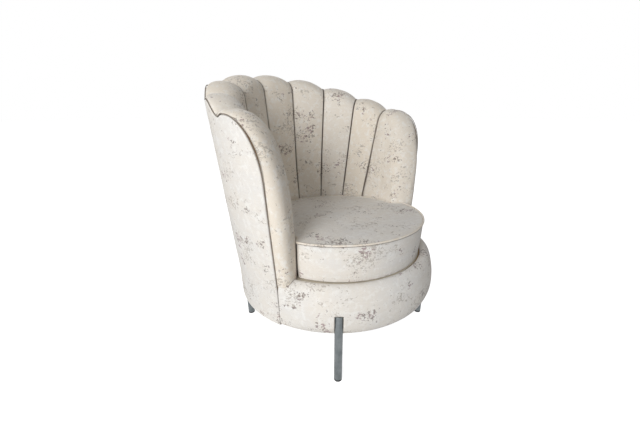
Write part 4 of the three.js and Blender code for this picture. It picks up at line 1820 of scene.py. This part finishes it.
class Graph:
    """Adds and joins nodes in one node tree."""

    def __init__(self, tree: Tree) -> None:
        """Starts on an empty tree."""
        self.tree = tree

    def node(self, kind: str, **settings: object) -> Node:
        """Adds a node and sets its options.

        Args:
            kind: The node's type.
            settings: Its options by name.

        Returns:
            The node.
        """
        made = self.tree.nodes.new(kind)
        for key, value in settings.items():
            setattr(made, key, value)
        return made

    def join(self, source: object, target: Socket) -> None:
        """Links a socket to another, or writes a plain value into it.

        Args:
            source: A socket or a value.
            target: The socket that takes it.
        """
        if isinstance(source, Socket):
            self.tree.links.new(source, target)
        elif isinstance(source, tuple) and len(source) == 3 and target.type == "RGBA":
            target.default_value = (*source, 1.0)
        else:
            target.default_value = source

    def maths(
        self, operation: str, first: object, second: object = 0.0, third: object = 0.0,
    ) -> Socket:
        """One Math node's result.

        Args:
            operation: The node's operation.
            first: Its first value.
            second: Its second value.
            third: Its third value, which only some operations take.

        Returns:
            The result.
        """
        made = self.node("ShaderNodeMath", operation=operation)
        for place, value in enumerate((first, second, third)):
            self.join(value, made.inputs[place])
        return made.outputs[0]

    def scaled(self, vector: object, scale: Point, move: Point = (0.0, 0.0, 0.0)) -> Socket:
        """A vector moved and scaled by a Mapping node.

        Args:
            vector: The vector.
            scale: Its scale along each axis.
            move: How far it is moved.

        Returns:
            The result.
        """
        made = self.node("ShaderNodeMapping")
        self.join(vector, made.inputs["Vector"])
        made.inputs["Location"].default_value = move
        made.inputs["Scale"].default_value = scale
        return made.outputs[0]

    def speckle(
        self, vector: object, scale: object, detail: float = 2.0, rough: float = 0.5, warp: float = 0.0,
    ) -> Socket:
        """One Noise Texture's value.

        Args:
            vector: Where it is read.
            scale: Its patches to the metre.
            detail: How many finer layers it has.
            rough: How strong the finer layers are.
            warp: How far it is bent by itself.

        Returns:
            The value.
        """
        made = self.node("ShaderNodeTexNoise")
        self.join(vector, made.inputs["Vector"])
        self.join(scale, made.inputs["Scale"])
        made.inputs["Detail"].default_value = detail
        made.inputs["Roughness"].default_value = rough
        made.inputs["Distortion"].default_value = warp
        return made.outputs[0]

    def eased(
        self, value: object, low: object, high: object, first: float = 0.0, last: float = 1.0,
    ) -> Socket:
        """A value eased from one number at low to another at high.

        Args:
            value: The value.
            low: Where the easing starts.
            high: Where it ends.
            first: The result at its start.
            last: The result at its end.

        Returns:
            The result.
        """
        made = self.node("ShaderNodeMapRange", interpolation_type="SMOOTHSTEP")
        for place, entry in enumerate((value, low, high, first, last)):
            self.join(entry, made.inputs[place])
        return made.outputs[0]

    def blend(self, share: object, first: object, second: object, way: str = "MIX") -> Socket:
        """Two colours mixed.

        Args:
            share: Share of the second one.
            first: The first colour.
            second: The second colour.
            way: How they are mixed.

        Returns:
            The mixed colour.
        """
        made = self.node("ShaderNodeMix", data_type="RGBA", blend_type=way)
        self.join(share, made.inputs[0])
        self.join(first, made.inputs[6])
        self.join(second, made.inputs[7])
        return made.outputs[2]

    def bump(
        self, height: object, strength: float, distance: float, under: object | None = None,
    ) -> Socket:
        """A normal raised by a height.

        Args:
            height: The height.
            strength: How much of it shows.
            distance: Its full depth in metres.
            under: A normal that it is added to, if any.

        Returns:
            The new normal.
        """
        made = self.node("ShaderNodeBump")
        made.inputs["Strength"].default_value = strength
        made.inputs["Distance"].default_value = distance
        self.join(height, made.inputs["Height"])
        if under is not None:
            self.join(under, made.inputs["Normal"])
        return made.outputs[0]


def new_group(
    name: str, inputs: dict[str, str], outputs: dict[str, str],
) -> tuple[Tree, Graph, Node, Node]:
    """Starts a shader node group.

    Args:
        name: The group's name.
        inputs: Socket type of each input.
        outputs: Socket type of each output.

    Returns:
        The group, a graph on it, and its input and output nodes.
    """
    tree = bpy.data.node_groups.new(name, "ShaderNodeTree")
    for title, kind in inputs.items():
        tree.interface.new_socket(name=title, in_out="INPUT", socket_type=kind)
    for title, kind in outputs.items():
        tree.interface.new_socket(name=title, in_out="OUTPUT", socket_type=kind)
    graph = Graph(tree)
    return tree, graph, graph.node("NodeGroupInput"), graph.node("NodeGroupOutput")


NUMBER, VECTOR = "NodeSocketFloat", "NodeSocketVector"


@dataclass
class Effects:
    """Node groups that several finishes share, each built once."""

    threads: Tree = None
    flecks: Tree = None
    slubs: Tree = None
    grain: Tree = None
    smudge: Tree = None

    def __post_init__(self) -> None:
        """Builds the groups."""
        self.threads = self.make_threads()
        self.flecks = self.make_flecks()
        self.slubs = self.make_slubs()
        self.grain = self.make_grain()
        self.smudge = self.make_smudge()

    @staticmethod
    def make_threads() -> Tree:
        """Plain weave: crossing threads that pass over and under each other, from cloth coordinates.

        Returns:
            The group, with the threads' height and the gaps between them.
        """
        inputs = {"Cloth": VECTOR, "Threads": NUMBER}
        tree, g, given, out = new_group("weave", inputs, {"Height": NUMBER, "Gap": NUMBER})
        wide = g.node("ShaderNodeVectorMath", operation="SCALE")
        g.join(given.outputs["Cloth"], wide.inputs[0])
        g.join(given.outputs["Threads"], wide.inputs["Scale"])
        wander = g.speckle(wide.outputs[0], 0.21, detail=1.0)
        parts = g.node("ShaderNodeSeparateXYZ")
        g.join(wide.outputs[0], parts.inputs[0])
        across = g.maths("MULTIPLY_ADD", wander, 0.8, parts.outputs[0])
        along = g.maths("MULTIPLY_ADD", wander, 0.6, parts.outputs[1])
        warp = g.maths("SINE", g.maths("MULTIPLY", across, math.pi))
        weft = g.maths("SINE", g.maths("MULTIPLY", along, math.pi))
        over = g.maths("MULTIPLY", warp, weft)
        g.join(g.maths("MULTIPLY_ADD", over, 0.5, 0.5), out.inputs["Height"])
        edges = g.maths("MINIMUM", g.maths("ABSOLUTE", warp), g.maths("ABSOLUTE", weft))
        g.join(g.eased(edges, 0.35, 0.0), out.inputs["Gap"])
        return tree

    @staticmethod
    def make_flecks() -> Tree:
        """Small worn flecks that stand in loose clusters with bare cloth between.

        Returns:
            The group, with the flecks' mask and a slow change of their tint.
        """
        inputs = {"Place": VECTOR, "Cluster": NUMBER, "Speck": NUMBER, "Share": NUMBER, "Spread": NUMBER}
        tree, g, given, out = new_group("flecks", inputs, {"Mask": NUMBER, "Tint": NUMBER})
        place, spread = given.outputs["Place"], given.outputs["Spread"]
        cluster = g.speckle(place, given.outputs["Cluster"], detail=2.0, rough=0.55, warp=0.4)
        within = g.eased(cluster, g.maths("SUBTRACT", 0.66, spread), 0.68)
        speck = g.speckle(place, given.outputs["Speck"], detail=3.0, rough=0.6, warp=0.7)
        least = g.maths("SUBTRACT", 0.74, g.maths("MULTIPLY", within, given.outputs["Share"]))
        mark = g.eased(speck, least, g.maths("ADD", least, 0.035))
        g.join(g.maths("MULTIPLY", mark, g.eased(within, 0.02, 0.3)), out.inputs["Mask"])
        g.join(g.speckle(place, 26.0, detail=1.0), out.inputs["Tint"])
        return tree

    @staticmethod
    def make_slubs() -> Tree:
        """Thicker threads that run a short way along and across the cloth.

        Returns:
            The group, with the threads along and across.
        """
        inputs = {"Cloth": VECTOR, "Pitch": NUMBER}
        tree, g, given, out = new_group("slubs", inputs, {"Along": NUMBER, "Across": NUMBER})
        for title, scale in (("Along", (1.0, 0.07, 1.0)), ("Across", (0.07, 1.0, 1.0))):
            drawn = g.scaled(given.outputs["Cloth"], scale)
            thread = g.speckle(drawn, given.outputs["Pitch"], detail=2.0, rough=0.6)
            g.join(g.eased(thread, 0.3, 0.7), out.inputs[title])
        return tree

    @staticmethod
    def make_grain() -> Tree:
        """Wood grain along one direction, with finer pores in it.

        Returns:
            The group, with the grain and its pores.
        """
        inputs = {"Place": VECTOR, "Lines": NUMBER}
        tree, g, given, out = new_group("grain", inputs, {"Value": NUMBER, "Pores": NUMBER})
        bent = g.speckle(given.outputs["Place"], given.outputs["Lines"], detail=4.0, rough=0.6, warp=1.2)
        g.join(g.eased(bent, 0.25, 0.75), out.inputs["Value"])
        finer = g.maths("MULTIPLY", given.outputs["Lines"], 7.0)
        fine = g.speckle(given.outputs["Place"], finer, detail=2.0, rough=0.5)
        g.join(g.eased(fine, 0.58, 0.7), out.inputs["Pores"])
        return tree

    @staticmethod
    def make_smudge() -> Tree:
        """Soft cloudy wear with a few scuffs.

        Returns:
            The group, with the clouds and the scuffs.
        """
        inputs = {"Place": VECTOR, "Size": NUMBER}
        tree, g, given, out = new_group("smudge", inputs, {"Cloud": NUMBER, "Scuff": NUMBER})
        cloud = g.speckle(given.outputs["Place"], given.outputs["Size"], detail=4.0, rough=0.6)
        g.join(g.eased(cloud, 0.3, 0.7), out.inputs["Cloud"])
        finer = g.maths("MULTIPLY", given.outputs["Size"], 6.0)
        scuff = g.speckle(given.outputs["Place"], finer, detail=3.0, rough=0.65, warp=1.0)
        g.join(g.eased(scuff, 0.62, 0.72), out.inputs["Scuff"])
        return tree


def fresh_graph(owner: Material | bpy.types.World) -> Graph:
    """Starts the nodes of a material or of the world anew.

    Args:
        owner: The material or the world.

    Returns:
        A graph on its empty node tree.
    """
    owner.use_nodes = True
    owner.node_tree.nodes.clear()
    return Graph(owner.node_tree)


def start_material(name: str) -> tuple[Material, Graph, Node, Node]:
    """Starts a material.

    Args:
        name: The material's name.

    Returns:
        The material, a graph on it, its Principled node and its coordinates node.
    """
    material = bpy.data.materials.new(name)
    g = fresh_graph(material)
    shader, output = g.node("ShaderNodeBsdfPrincipled"), g.node("ShaderNodeOutputMaterial")
    g.join(shader.outputs[0], output.inputs["Surface"])
    return material, g, shader, g.node("ShaderNodeTexCoord")


def grouped(g: Graph, tree: Tree, **given: object) -> Node:
    """Places a node group and fills its inputs.

    Args:
        g: The graph that it is placed in.
        tree: The node group.
        given: Its inputs by name.

    Returns:
        The group's node.
    """
    made = g.node("ShaderNodeGroup", node_tree=tree)
    for title, value in given.items():
        g.join(value, made.inputs[title])
    return made


@dataclass(frozen=True)
class CoverFabric:
    """Cream woven velvet with a worn look: slubs, pale rubbed places, clusters of small brown flecks and
    painted shade in its seams.
    """

    name: str = "cream_fleck_fabric"
    ground: Colour = linear(222, 220, 217)
    pale: Colour = linear(239, 239, 237)
    warm: Colour = linear(228, 217, 200)
    fleck: Colour = linear(104, 88, 82)
    fleck_red: Colour = linear(138, 108, 112)
    fleck_soft: Colour = linear(166, 157, 147)
    # Colour of the painted shade in seams, creases and gaps between parts.
    painted_shade: Colour = linear(74, 58, 46)
    threads: float = 1100.0
    roughness: float = 0.86
    fleck_share: float = 1.0
    painted_shade_share: float = 0.85
    sheen: float = 0.18

    def material(self, effects: Effects) -> Material:
        """Builds the material.

        Args:
            effects: The shared node groups.

        Returns:
            The material.
        """
        material, g, shader, coords = start_material(self.name)
        place, cloth = coords.outputs["Object"], coords.outputs["UV"]
        weave = grouped(g, effects.threads, Cloth=cloth, Threads=self.threads)
        slubs = grouped(g, effects.slubs, Cloth=cloth, Pitch=230.0)
        broad = grouped(g, effects.slubs, Cloth=cloth, Pitch=46.0)
        cloud = g.eased(g.speckle(place, 7.0, detail=3.0, rough=0.55), 0.34, 0.68, first=0.0, last=0.3)
        rubbed = g.eased(g.speckle(place, 62.0, detail=4.0, rough=0.65, warp=0.5), 0.47, 0.66)
        colour = g.blend(cloud, self.ground, self.warm)
        tone = g.node("ShaderNodeAttribute", attribute_name="tone")
        colour = g.blend(g.eased(tone.outputs["Fac"], 0.2, 0.8, first=0.8, last=0.0), colour, self.warm)
        colour = g.blend(g.maths("MULTIPLY", rubbed, 0.55), colour, self.pale)
        colour = g.blend(g.maths("MULTIPLY", broad.outputs["Across"], 0.16), colour, self.warm)
        colour = g.blend(g.maths("MULTIPLY", slubs.outputs["Across"], 0.14), colour, self.pale)
        colour = g.blend(g.maths("MULTIPLY", slubs.outputs["Along"], 0.14), colour, self.warm)
        shade = g.blend(weave.outputs["Gap"], (1.0, 1.0, 1.0), (0.86, 0.84, 0.81))
        colour = g.blend(0.6, colour, shade, "MULTIPLY")
        soft = grouped(
            g, effects.flecks, Place=g.scaled(place, (1.0, 1.0, 1.4), (3.1, 0.4, 0.2)), Cluster=11.0,
            Speck=120.0, Share=0.225, Spread=0.26,
        )
        dark = grouped(
            g, effects.flecks, Place=g.scaled(place, (1.0, 1.0, 1.25)), Cluster=14.0, Speck=128.0,
            Share=0.22, Spread=0.205,
        )
        faint = g.maths("MULTIPLY", soft.outputs["Mask"], 0.6 * self.fleck_share)
        colour = g.blend(faint, colour, self.fleck_soft)
        tint = g.blend(g.eased(dark.outputs["Tint"], 0.48, 0.6), self.fleck, self.fleck_red)
        colour = g.blend(g.maths("MULTIPLY", dark.outputs["Mask"], 0.72 * self.fleck_share), colour, tint)
        # Painted shade: the cloth is darkened towards a brown where the pieces' painted shade mask is high.
        painted_shade = g.node("ShaderNodeAttribute", attribute_name="painted_shade")
        colour = g.blend(g.maths("MULTIPLY", painted_shade.outputs["Fac"], self.painted_shade_share), colour, self.painted_shade)
        g.join(colour, shader.inputs["Base Color"])
        rough = g.maths("MULTIPLY_ADD", rubbed, -0.08, self.roughness)
        g.join(g.maths("MULTIPLY_ADD", dark.outputs["Mask"], -0.12, rough), shader.inputs["Roughness"])
        raised = g.bump(weave.outputs["Height"], strength=0.35, distance=0.0004)
        height = g.maths("ADD", slubs.outputs["Across"], slubs.outputs["Along"])
        raised = g.bump(height, strength=0.25, distance=0.0004, under=raised)
        pile = g.speckle(place, 45.0, detail=3.0, rough=0.6)
        worn = g.maths("MULTIPLY_ADD", dark.outputs["Mask"], -0.8, pile)
        g.join(g.bump(worn, strength=0.3, distance=0.0008, under=raised), shader.inputs["Normal"])
        shader.inputs["Sheen Weight"].default_value = self.sheen
        shader.inputs["Sheen Roughness"].default_value = 0.45
        shader.inputs["Specular IOR Level"].default_value = 0.25
        return material


@dataclass(frozen=True)
class SatinSteel:
    """Satin grey tube: fine brushing along the tube, soft smudges."""

    name: str = "satin_steel"
    colour: Colour = linear(122, 127, 129)
    dull: Colour = linear(100, 106, 108)
    metallic: float = 0.75
    roughness: float = 0.42

    def material(self, effects: Effects) -> Material:
        """Builds the material from the shared node groups.

        Args:
            effects: The shared node groups.

        Returns:
            The material.
        """
        material, g, shader, coords = start_material(self.name)
        place = coords.outputs["Object"]
        brushed = g.speckle(g.scaled(place, (1.0, 1.0, 0.04)), 1500.0, detail=2.0, rough=0.6)
        smudge = grouped(g, effects.smudge, Place=place, Size=24.0)
        colour = g.blend(smudge.outputs["Cloud"], self.colour, self.dull)
        colour = g.blend(g.maths("MULTIPLY", g.eased(brushed, 0.35, 0.65), 0.18), colour, self.dull)
        g.join(colour, shader.inputs["Base Color"])
        rough = g.maths("MULTIPLY_ADD", smudge.outputs["Cloud"], 0.08, self.roughness)
        g.join(g.maths("MULTIPLY_ADD", smudge.outputs["Scuff"], 0.1, rough), shader.inputs["Roughness"])
        g.join(g.bump(brushed, strength=0.12, distance=0.00015), shader.inputs["Normal"])
        shader.inputs["Metallic"].default_value = self.metallic
        return material


@dataclass(frozen=True)
class Timber:
    """Wood of the hidden frame: layered edges for plywood, or one solid grain."""

    name: str
    light: Colour
    dark: Colour
    grain: Point
    lines: float = 60.0
    layer: float = 0.0
    round_layers: bool = False
    axis_y: float = 0.0

    def material(self, effects: Effects) -> Material:
        """Builds the material from the shared node groups.

        Args:
            effects: The shared node groups.

        Returns:
            The material.
        """
        material, g, shader, coords = start_material(self.name)
        place = g.scaled(coords.outputs["Object"], (1.0, 1.0, 1.0), (0.0, -self.axis_y, 0.0))
        grain = grouped(g, effects.grain, Place=g.scaled(place, self.grain), Lines=self.lines)
        colour = g.blend(grain.outputs["Value"], self.light, self.dark)
        colour = g.blend(g.maths("MULTIPLY", grain.outputs["Pores"], 0.5), colour, self.dark)
        if self.layer:
            parts = g.node("ShaderNodeSeparateXYZ")
            g.join(place, parts.inputs[0])
            depth = parts.outputs[2]
            if self.round_layers:
                squares = [g.maths("POWER", parts.outputs[side], 2.0) for side in (0, 1)]
                depth = g.maths("SQRT", g.maths("ADD", *squares))
            wave = g.maths("SINE", g.maths("MULTIPLY", depth, math.pi / self.layer))
            colour = g.blend(g.eased(wave, -0.2, 0.2, first=0.0, last=0.35), colour, self.dark)
        g.join(colour, shader.inputs["Base Color"])
        g.join(g.eased(grain.outputs["Value"], 0.0, 1.0, first=0.62, last=0.78), shader.inputs["Roughness"])
        g.join(g.bump(grain.outputs["Pores"], strength=0.3, distance=0.0003), shader.inputs["Normal"])
        return material


@dataclass(frozen=True)
class PlainCloth:
    """A plain technical cloth: webbing, seat lining or dust cover."""

    name: str
    colour: Colour
    second: Colour
    threads: float
    roughness: float = 0.9

    def material(self, effects: Effects) -> Material:
        """Builds the material from the shared node groups.

        Args:
            effects: The shared node groups.

        Returns:
            The material.
        """
        material, g, shader, coords = start_material(self.name)
        place = coords.outputs["Object"]
        weave = grouped(g, effects.threads, Cloth=place, Threads=self.threads)
        smudge = grouped(g, effects.smudge, Place=place, Size=18.0)
        colour = g.blend(g.maths("MULTIPLY", weave.outputs["Gap"], 0.7), self.colour, self.second)
        colour = g.blend(g.maths("MULTIPLY", smudge.outputs["Cloud"], 0.35), colour, self.second)
        g.join(colour, shader.inputs["Base Color"])
        rough = g.maths("MULTIPLY_ADD", smudge.outputs["Scuff"], -0.08, self.roughness)
        g.join(rough, shader.inputs["Roughness"])
        g.join(g.bump(weave.outputs["Height"], strength=0.4, distance=0.0004), shader.inputs["Normal"])
        return material


@dataclass(frozen=True)
class PlainPart:
    """A small plain part: moulded plastic or zinc-plated steel."""

    name: str
    colour: Colour
    worn: Colour
    roughness: float
    metallic: float

    def material(self, effects: Effects) -> Material:
        """Builds the material from the shared node groups.

        Args:
            effects: The shared node groups.

        Returns:
            The material.
        """
        material, g, shader, coords = start_material(self.name)
        smudge = grouped(g, effects.smudge, Place=coords.outputs["Object"], Size=70.0)
        colour = g.blend(g.maths("MULTIPLY", smudge.outputs["Cloud"], 0.6), self.colour, self.worn)
        colour = g.blend(g.maths("MULTIPLY", smudge.outputs["Scuff"], 0.4), colour, self.worn)
        g.join(colour, shader.inputs["Base Color"])
        rough = g.maths("MULTIPLY_ADD", smudge.outputs["Cloud"], 0.12, self.roughness)
        g.join(rough, shader.inputs["Roughness"])
        g.join(g.bump(smudge.outputs["Scuff"], strength=0.15, distance=0.0002), shader.inputs["Normal"])
        shader.inputs["Metallic"].default_value = self.metallic
        return material


# Inside of the drum.


@dataclass
class DrumFrame:
    """The frame's own nodes that stay as they are, each given its finish."""

    effects: Effects
    axis_y: float

    def dress(self) -> None:
        """Gives every kept node its material."""
        hoop = Timber(
            "bent_plywood", linear(205, 172, 128), linear(150, 112, 72), grain=(1, 1, 6), layer=0.0013,
            round_layers=True, axis_y=self.axis_y,
        )
        ring = Timber(
            "flat_plywood", linear(208, 176, 132), linear(156, 118, 78), grain=(1, 6, 1), layer=0.0015,
            axis_y=self.axis_y,
        )
        beech = Timber("beech", linear(196, 150, 104), linear(160, 112, 72), grain=(1, 1, 0.12), lines=90.0)
        zinc = PlainPart(
            "zinc_plate", linear(176, 180, 184), linear(132, 136, 140), roughness=0.34, metallic=0.9,
        )
        webbing = PlainCloth("woven_webbing", linear(150, 132, 102), linear(92, 78, 58), threads=900.0)
        finishes = {
            "base_hoop": hoop, "back_board": hoop, "base_ring": ring, "block": beech, "bolt": zinc,
            "strap": webbing,
        }
        made = {finish.name: finish.material(self.effects) for finish in finishes.values()}
        for name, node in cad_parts.items():
            for start, finish in finishes.items():
                if name.startswith(start):
                    node.data.materials.clear()
                    node.data.materials.append(made[finish.name])


@dataclass
class StretchedCloth:
    """A round cloth stapled over a side of the drum: the seat's lining above, the dust cover below."""

    form: ChairForm
    fabric: Material
    name: str
    node: str
    slot: Slot
    reach: Callable[[float], float]
    low: float
    thickness: float
    sag: float
    rests_on: tuple[str, ...]
    steps: int = 48
    edge_room: float = 0.0004
    pleat: float = 0.0004
    pleats: int = 40
    pleat_run: tuple[float, float] = (0.8, 0.97)
    pleat_end: float = 0.985
    wall_share: float = 0.8
    fold_angle: float = 50.0

    def build(self) -> Piece:
        """Makes the cloth.

        Returns:
            The finished cloth.
        """
        disc = RoundGrid(self.steps)
        flat = disc.places().reshape(-1, 2)
        away = np.linalg.norm(flat, axis=1)
        turn = np.arctan2(flat[:, 0], flat[:, 1])
        flat = flat * np.array([self.reach(math.degrees(angle)) - self.edge_room for angle in turn])[:, None]
        pull = self.pleat * np.cos(turn * self.pleats) * smoothstep_rows(*self.pleat_run, away)
        pull = pull * (away < self.pleat_end) if self.sag > 0 else 0.0
        height = self.low + self.thickness / 2 - self.sag * (1 - away ** 2) + pull
        places = np.column_stack([flat[:, 0], flat[:, 1] + self.form.axis_y, height])
        piece = faced_piece(self.name, places, disc.faces(0, False))
        wall = piece.modifiers.new("cloth_thickness", "SOLIDIFY")
        wall.thickness = self.thickness * self.wall_share
        wall.offset = 0
        settle(piece)
        dress(piece, self.fabric, Body.CHAIR, self.node, self.slot, self.fold_angle)
        edge = np.array([self.reach(angle) for angle in range(360)])
        list(self.rests_on)
        return piece


# Studio.


@dataclass
class Studio:
    """Pale floor, soft lamps and the camera at the photograph's angle."""

    axis_y: float
    turn: float = 45.5
    pitch: float = 22.56
    distance: float = 1.04183
    side_step: float = 0.02829
    camera_height: float = 0.77239
    lens: float = 17.0
    shift: tuple[float, float] = (-0.01225, 0.0345)
    sensor: float = 36.0
    clip_start: float = 0.02
    world_light: float = 0.33
    floor_glow: float = 0.9
    floor_size: float = 60.0
    floor_drop: float = 0.0002
    floor_grey: float = 0.55

    def camera(self) -> None:
        """Places the camera."""
        data = bpy.data.cameras.new("view")
        data.sensor_width = self.sensor
        data.lens = self.lens
        data.shift_x, data.shift_y = self.shift
        data.clip_start = self.clip_start
        turn = math.radians(self.turn)
        place = (
            -self.side_step * math.cos(turn) - self.distance * math.sin(turn),
            self.side_step * math.sin(turn) - self.distance * math.cos(turn) + self.axis_y,
            self.camera_height,
        )
        camera = link_piece("view", data)
        camera.location = place
        camera.rotation_euler = (math.radians(90 - self.pitch), 0.0, -turn)
        bpy.context.scene.camera = camera

    def lamp(self, name: str, place: Point, target: Point, size: float, watts: float) -> None:
        """One soft white square lamp.

        Args:
            name: The lamp's name.
            place: Where it stands.
            target: What it points at.
            size: Length of its side.
            watts: Its power.
        """
        data = bpy.data.lights.new(name, "AREA")
        data.size = size
        data.energy = watts
        data.color = (1.0, 1.0, 1.0)
        lamp = link_piece(name, data)
        lamp.location = place
        lamp.rotation_euler = (Vector(target) - Vector(place)).to_track_quat("-Z", "Y").to_euler()

    def floor(self) -> None:
        """The floor: white to the camera and to reflections, and it keeps the chair's shadow."""
        bpy.ops.object.select_all(action="DESELECT")
        bpy.ops.mesh.primitive_plane_add(size=self.floor_size, location=(0, 0, -self.floor_drop))
        floor = bpy.context.object
        floor.name = "floor"
        place_in_mesh(floor)
        material = bpy.data.materials.new("floor_white")
        g = fresh_graph(material)
        out, plain = g.node("ShaderNodeOutputMaterial"), g.node("ShaderNodeBsdfDiffuse")
        glow, both = g.node("ShaderNodeEmission"), g.node("ShaderNodeAddShader")
        plain.inputs["Color"].default_value = (self.floor_grey, self.floor_grey, self.floor_grey, 1)
        g.join(g.maths("MULTIPLY", self.seen(g), self.floor_glow), glow.inputs["Strength"])
        g.join(plain.outputs[0], both.inputs[0])
        g.join(glow.outputs[0], both.inputs[1])
        g.join(both.outputs[0], out.inputs["Surface"])
        floor.data.materials.append(material)

    @staticmethod
    def seen(g: Graph) -> Socket:
        """1 where a surface is seen, in a reflection too, and 0 where it only lights.

        Args:
            g: The graph that asks.

        Returns:
            1 or 0.
        """
        path = g.node("ShaderNodeLightPath")
        found = g.maths("MAXIMUM", path.outputs["Is Camera Ray"], path.outputs["Is Glossy Ray"])
        return g.maths("MAXIMUM", found, path.outputs["Is Transmission Ray"])

    def world(self) -> None:
        """The surroundings: white where seen, a low even light elsewhere."""
        world = bpy.data.worlds.new("studio")
        bpy.context.scene.world = world
        g = fresh_graph(world)
        out, shell = g.node("ShaderNodeOutputWorld"), g.node("ShaderNodeBackground")
        g.join(g.eased(self.seen(g), 0.0, 1.0, first=self.world_light, last=1.0), shell.inputs["Strength"])
        shell.inputs["Color"].default_value = (1, 1, 1, 1)
        g.join(shell.outputs[0], out.inputs["Surface"])

    def build(self) -> None:
        """Sets the studio up."""
        scene = bpy.context.scene
        scene.view_settings.view_transform = "Standard"
        self.floor()
        self.world()
        aim = (0.0, 0.0, 0.45)
        self.lamp("key", (-3.0, -1.15, 1.5), aim, size=1.5, watts=86)
        self.lamp("rear", (2.0, 2.6, 2.0), aim, size=1.8, watts=26)
        self.camera()


def main() -> None:
    """Builds the chair around the frame, piece by piece, then the studio."""
    logging.basicConfig(level=logging.INFO, format="%(message)s")
    low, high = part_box("base_hoop")
    form = ChairForm(axis_y=(low.y + high.y) / 2)
    effects = Effects()
    fabric = CoverFabric().material(effects)
    # Painted shade: the welt cord is a real part, and its cloth is made darker so that it stands in for the
    # shadow line in the seam along the rim.
    welt_shade_fabric = CoverFabric(
        name="welt_shade_fabric", ground=linear(146, 136, 126), pale=linear(160, 152, 143),
        warm=linear(128, 117, 107), fleck_share=0.3, threads=1600.0, painted_shade_share=0.0,
    ).material(effects)
    steel = SatinSteel().material(effects)
    plastic = PlainPart(
        "glide_plastic", linear(24, 24, 26), linear(46, 46, 48), roughness=0.6, metallic=0.0,
    ).material(effects)
    lining = PlainCloth(
        "seat_lining", linear(214, 205, 188), linear(176, 166, 148), threads=700.0,
    ).material(effects)
    dust = PlainCloth("dust_cloth", linear(48, 48, 50), linear(30, 30, 32), threads=1200.0).material(effects)
    DrumFrame(effects, form.axis_y).dress()
    lining_low, lining_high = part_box("deck_lining")
    dust_low, dust_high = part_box("dust_cover")
    pieces = [
        *BackPadding(form, fabric).build(),
        OuterPanel(form, fabric).build(),
        BackWelt(form, welt_shade_fabric).build(),
        FrontBorder(form, fabric).build(),
        *SeatCushion(form, fabric).build(),
        *SteelLegs(form, steel, plastic).build(),
        StretchedCloth(
            form, lining, "seat_lining", "deck_lining", Slot.LINING,
            reach=lambda angle: form.seat_reach(angle, form.deck_radius - LINING_INSET, 0.0),
            low=lining_low.z, thickness=lining_high.z - lining_low.z, sag=0.0, rests_on=("base_ring_upper",),
        ).build(),
        StretchedCloth(
            form, dust, "under_cloth", "dust_cover", Slot.DUST,
            reach=lambda angle: form.hoop_outer - DUST_INSET,
            low=dust_low.z, thickness=dust_high.z - dust_low.z, sag=DUST_SAG, rests_on=("base_ring_lower",),
        ).build(),
    ]
    for piece in pieces:
        LOG.info("%s: %d faces", piece.name, len(piece.data.polygons))
    Studio(form.axis_y).build()


if __name__ == "__main__":
    main()
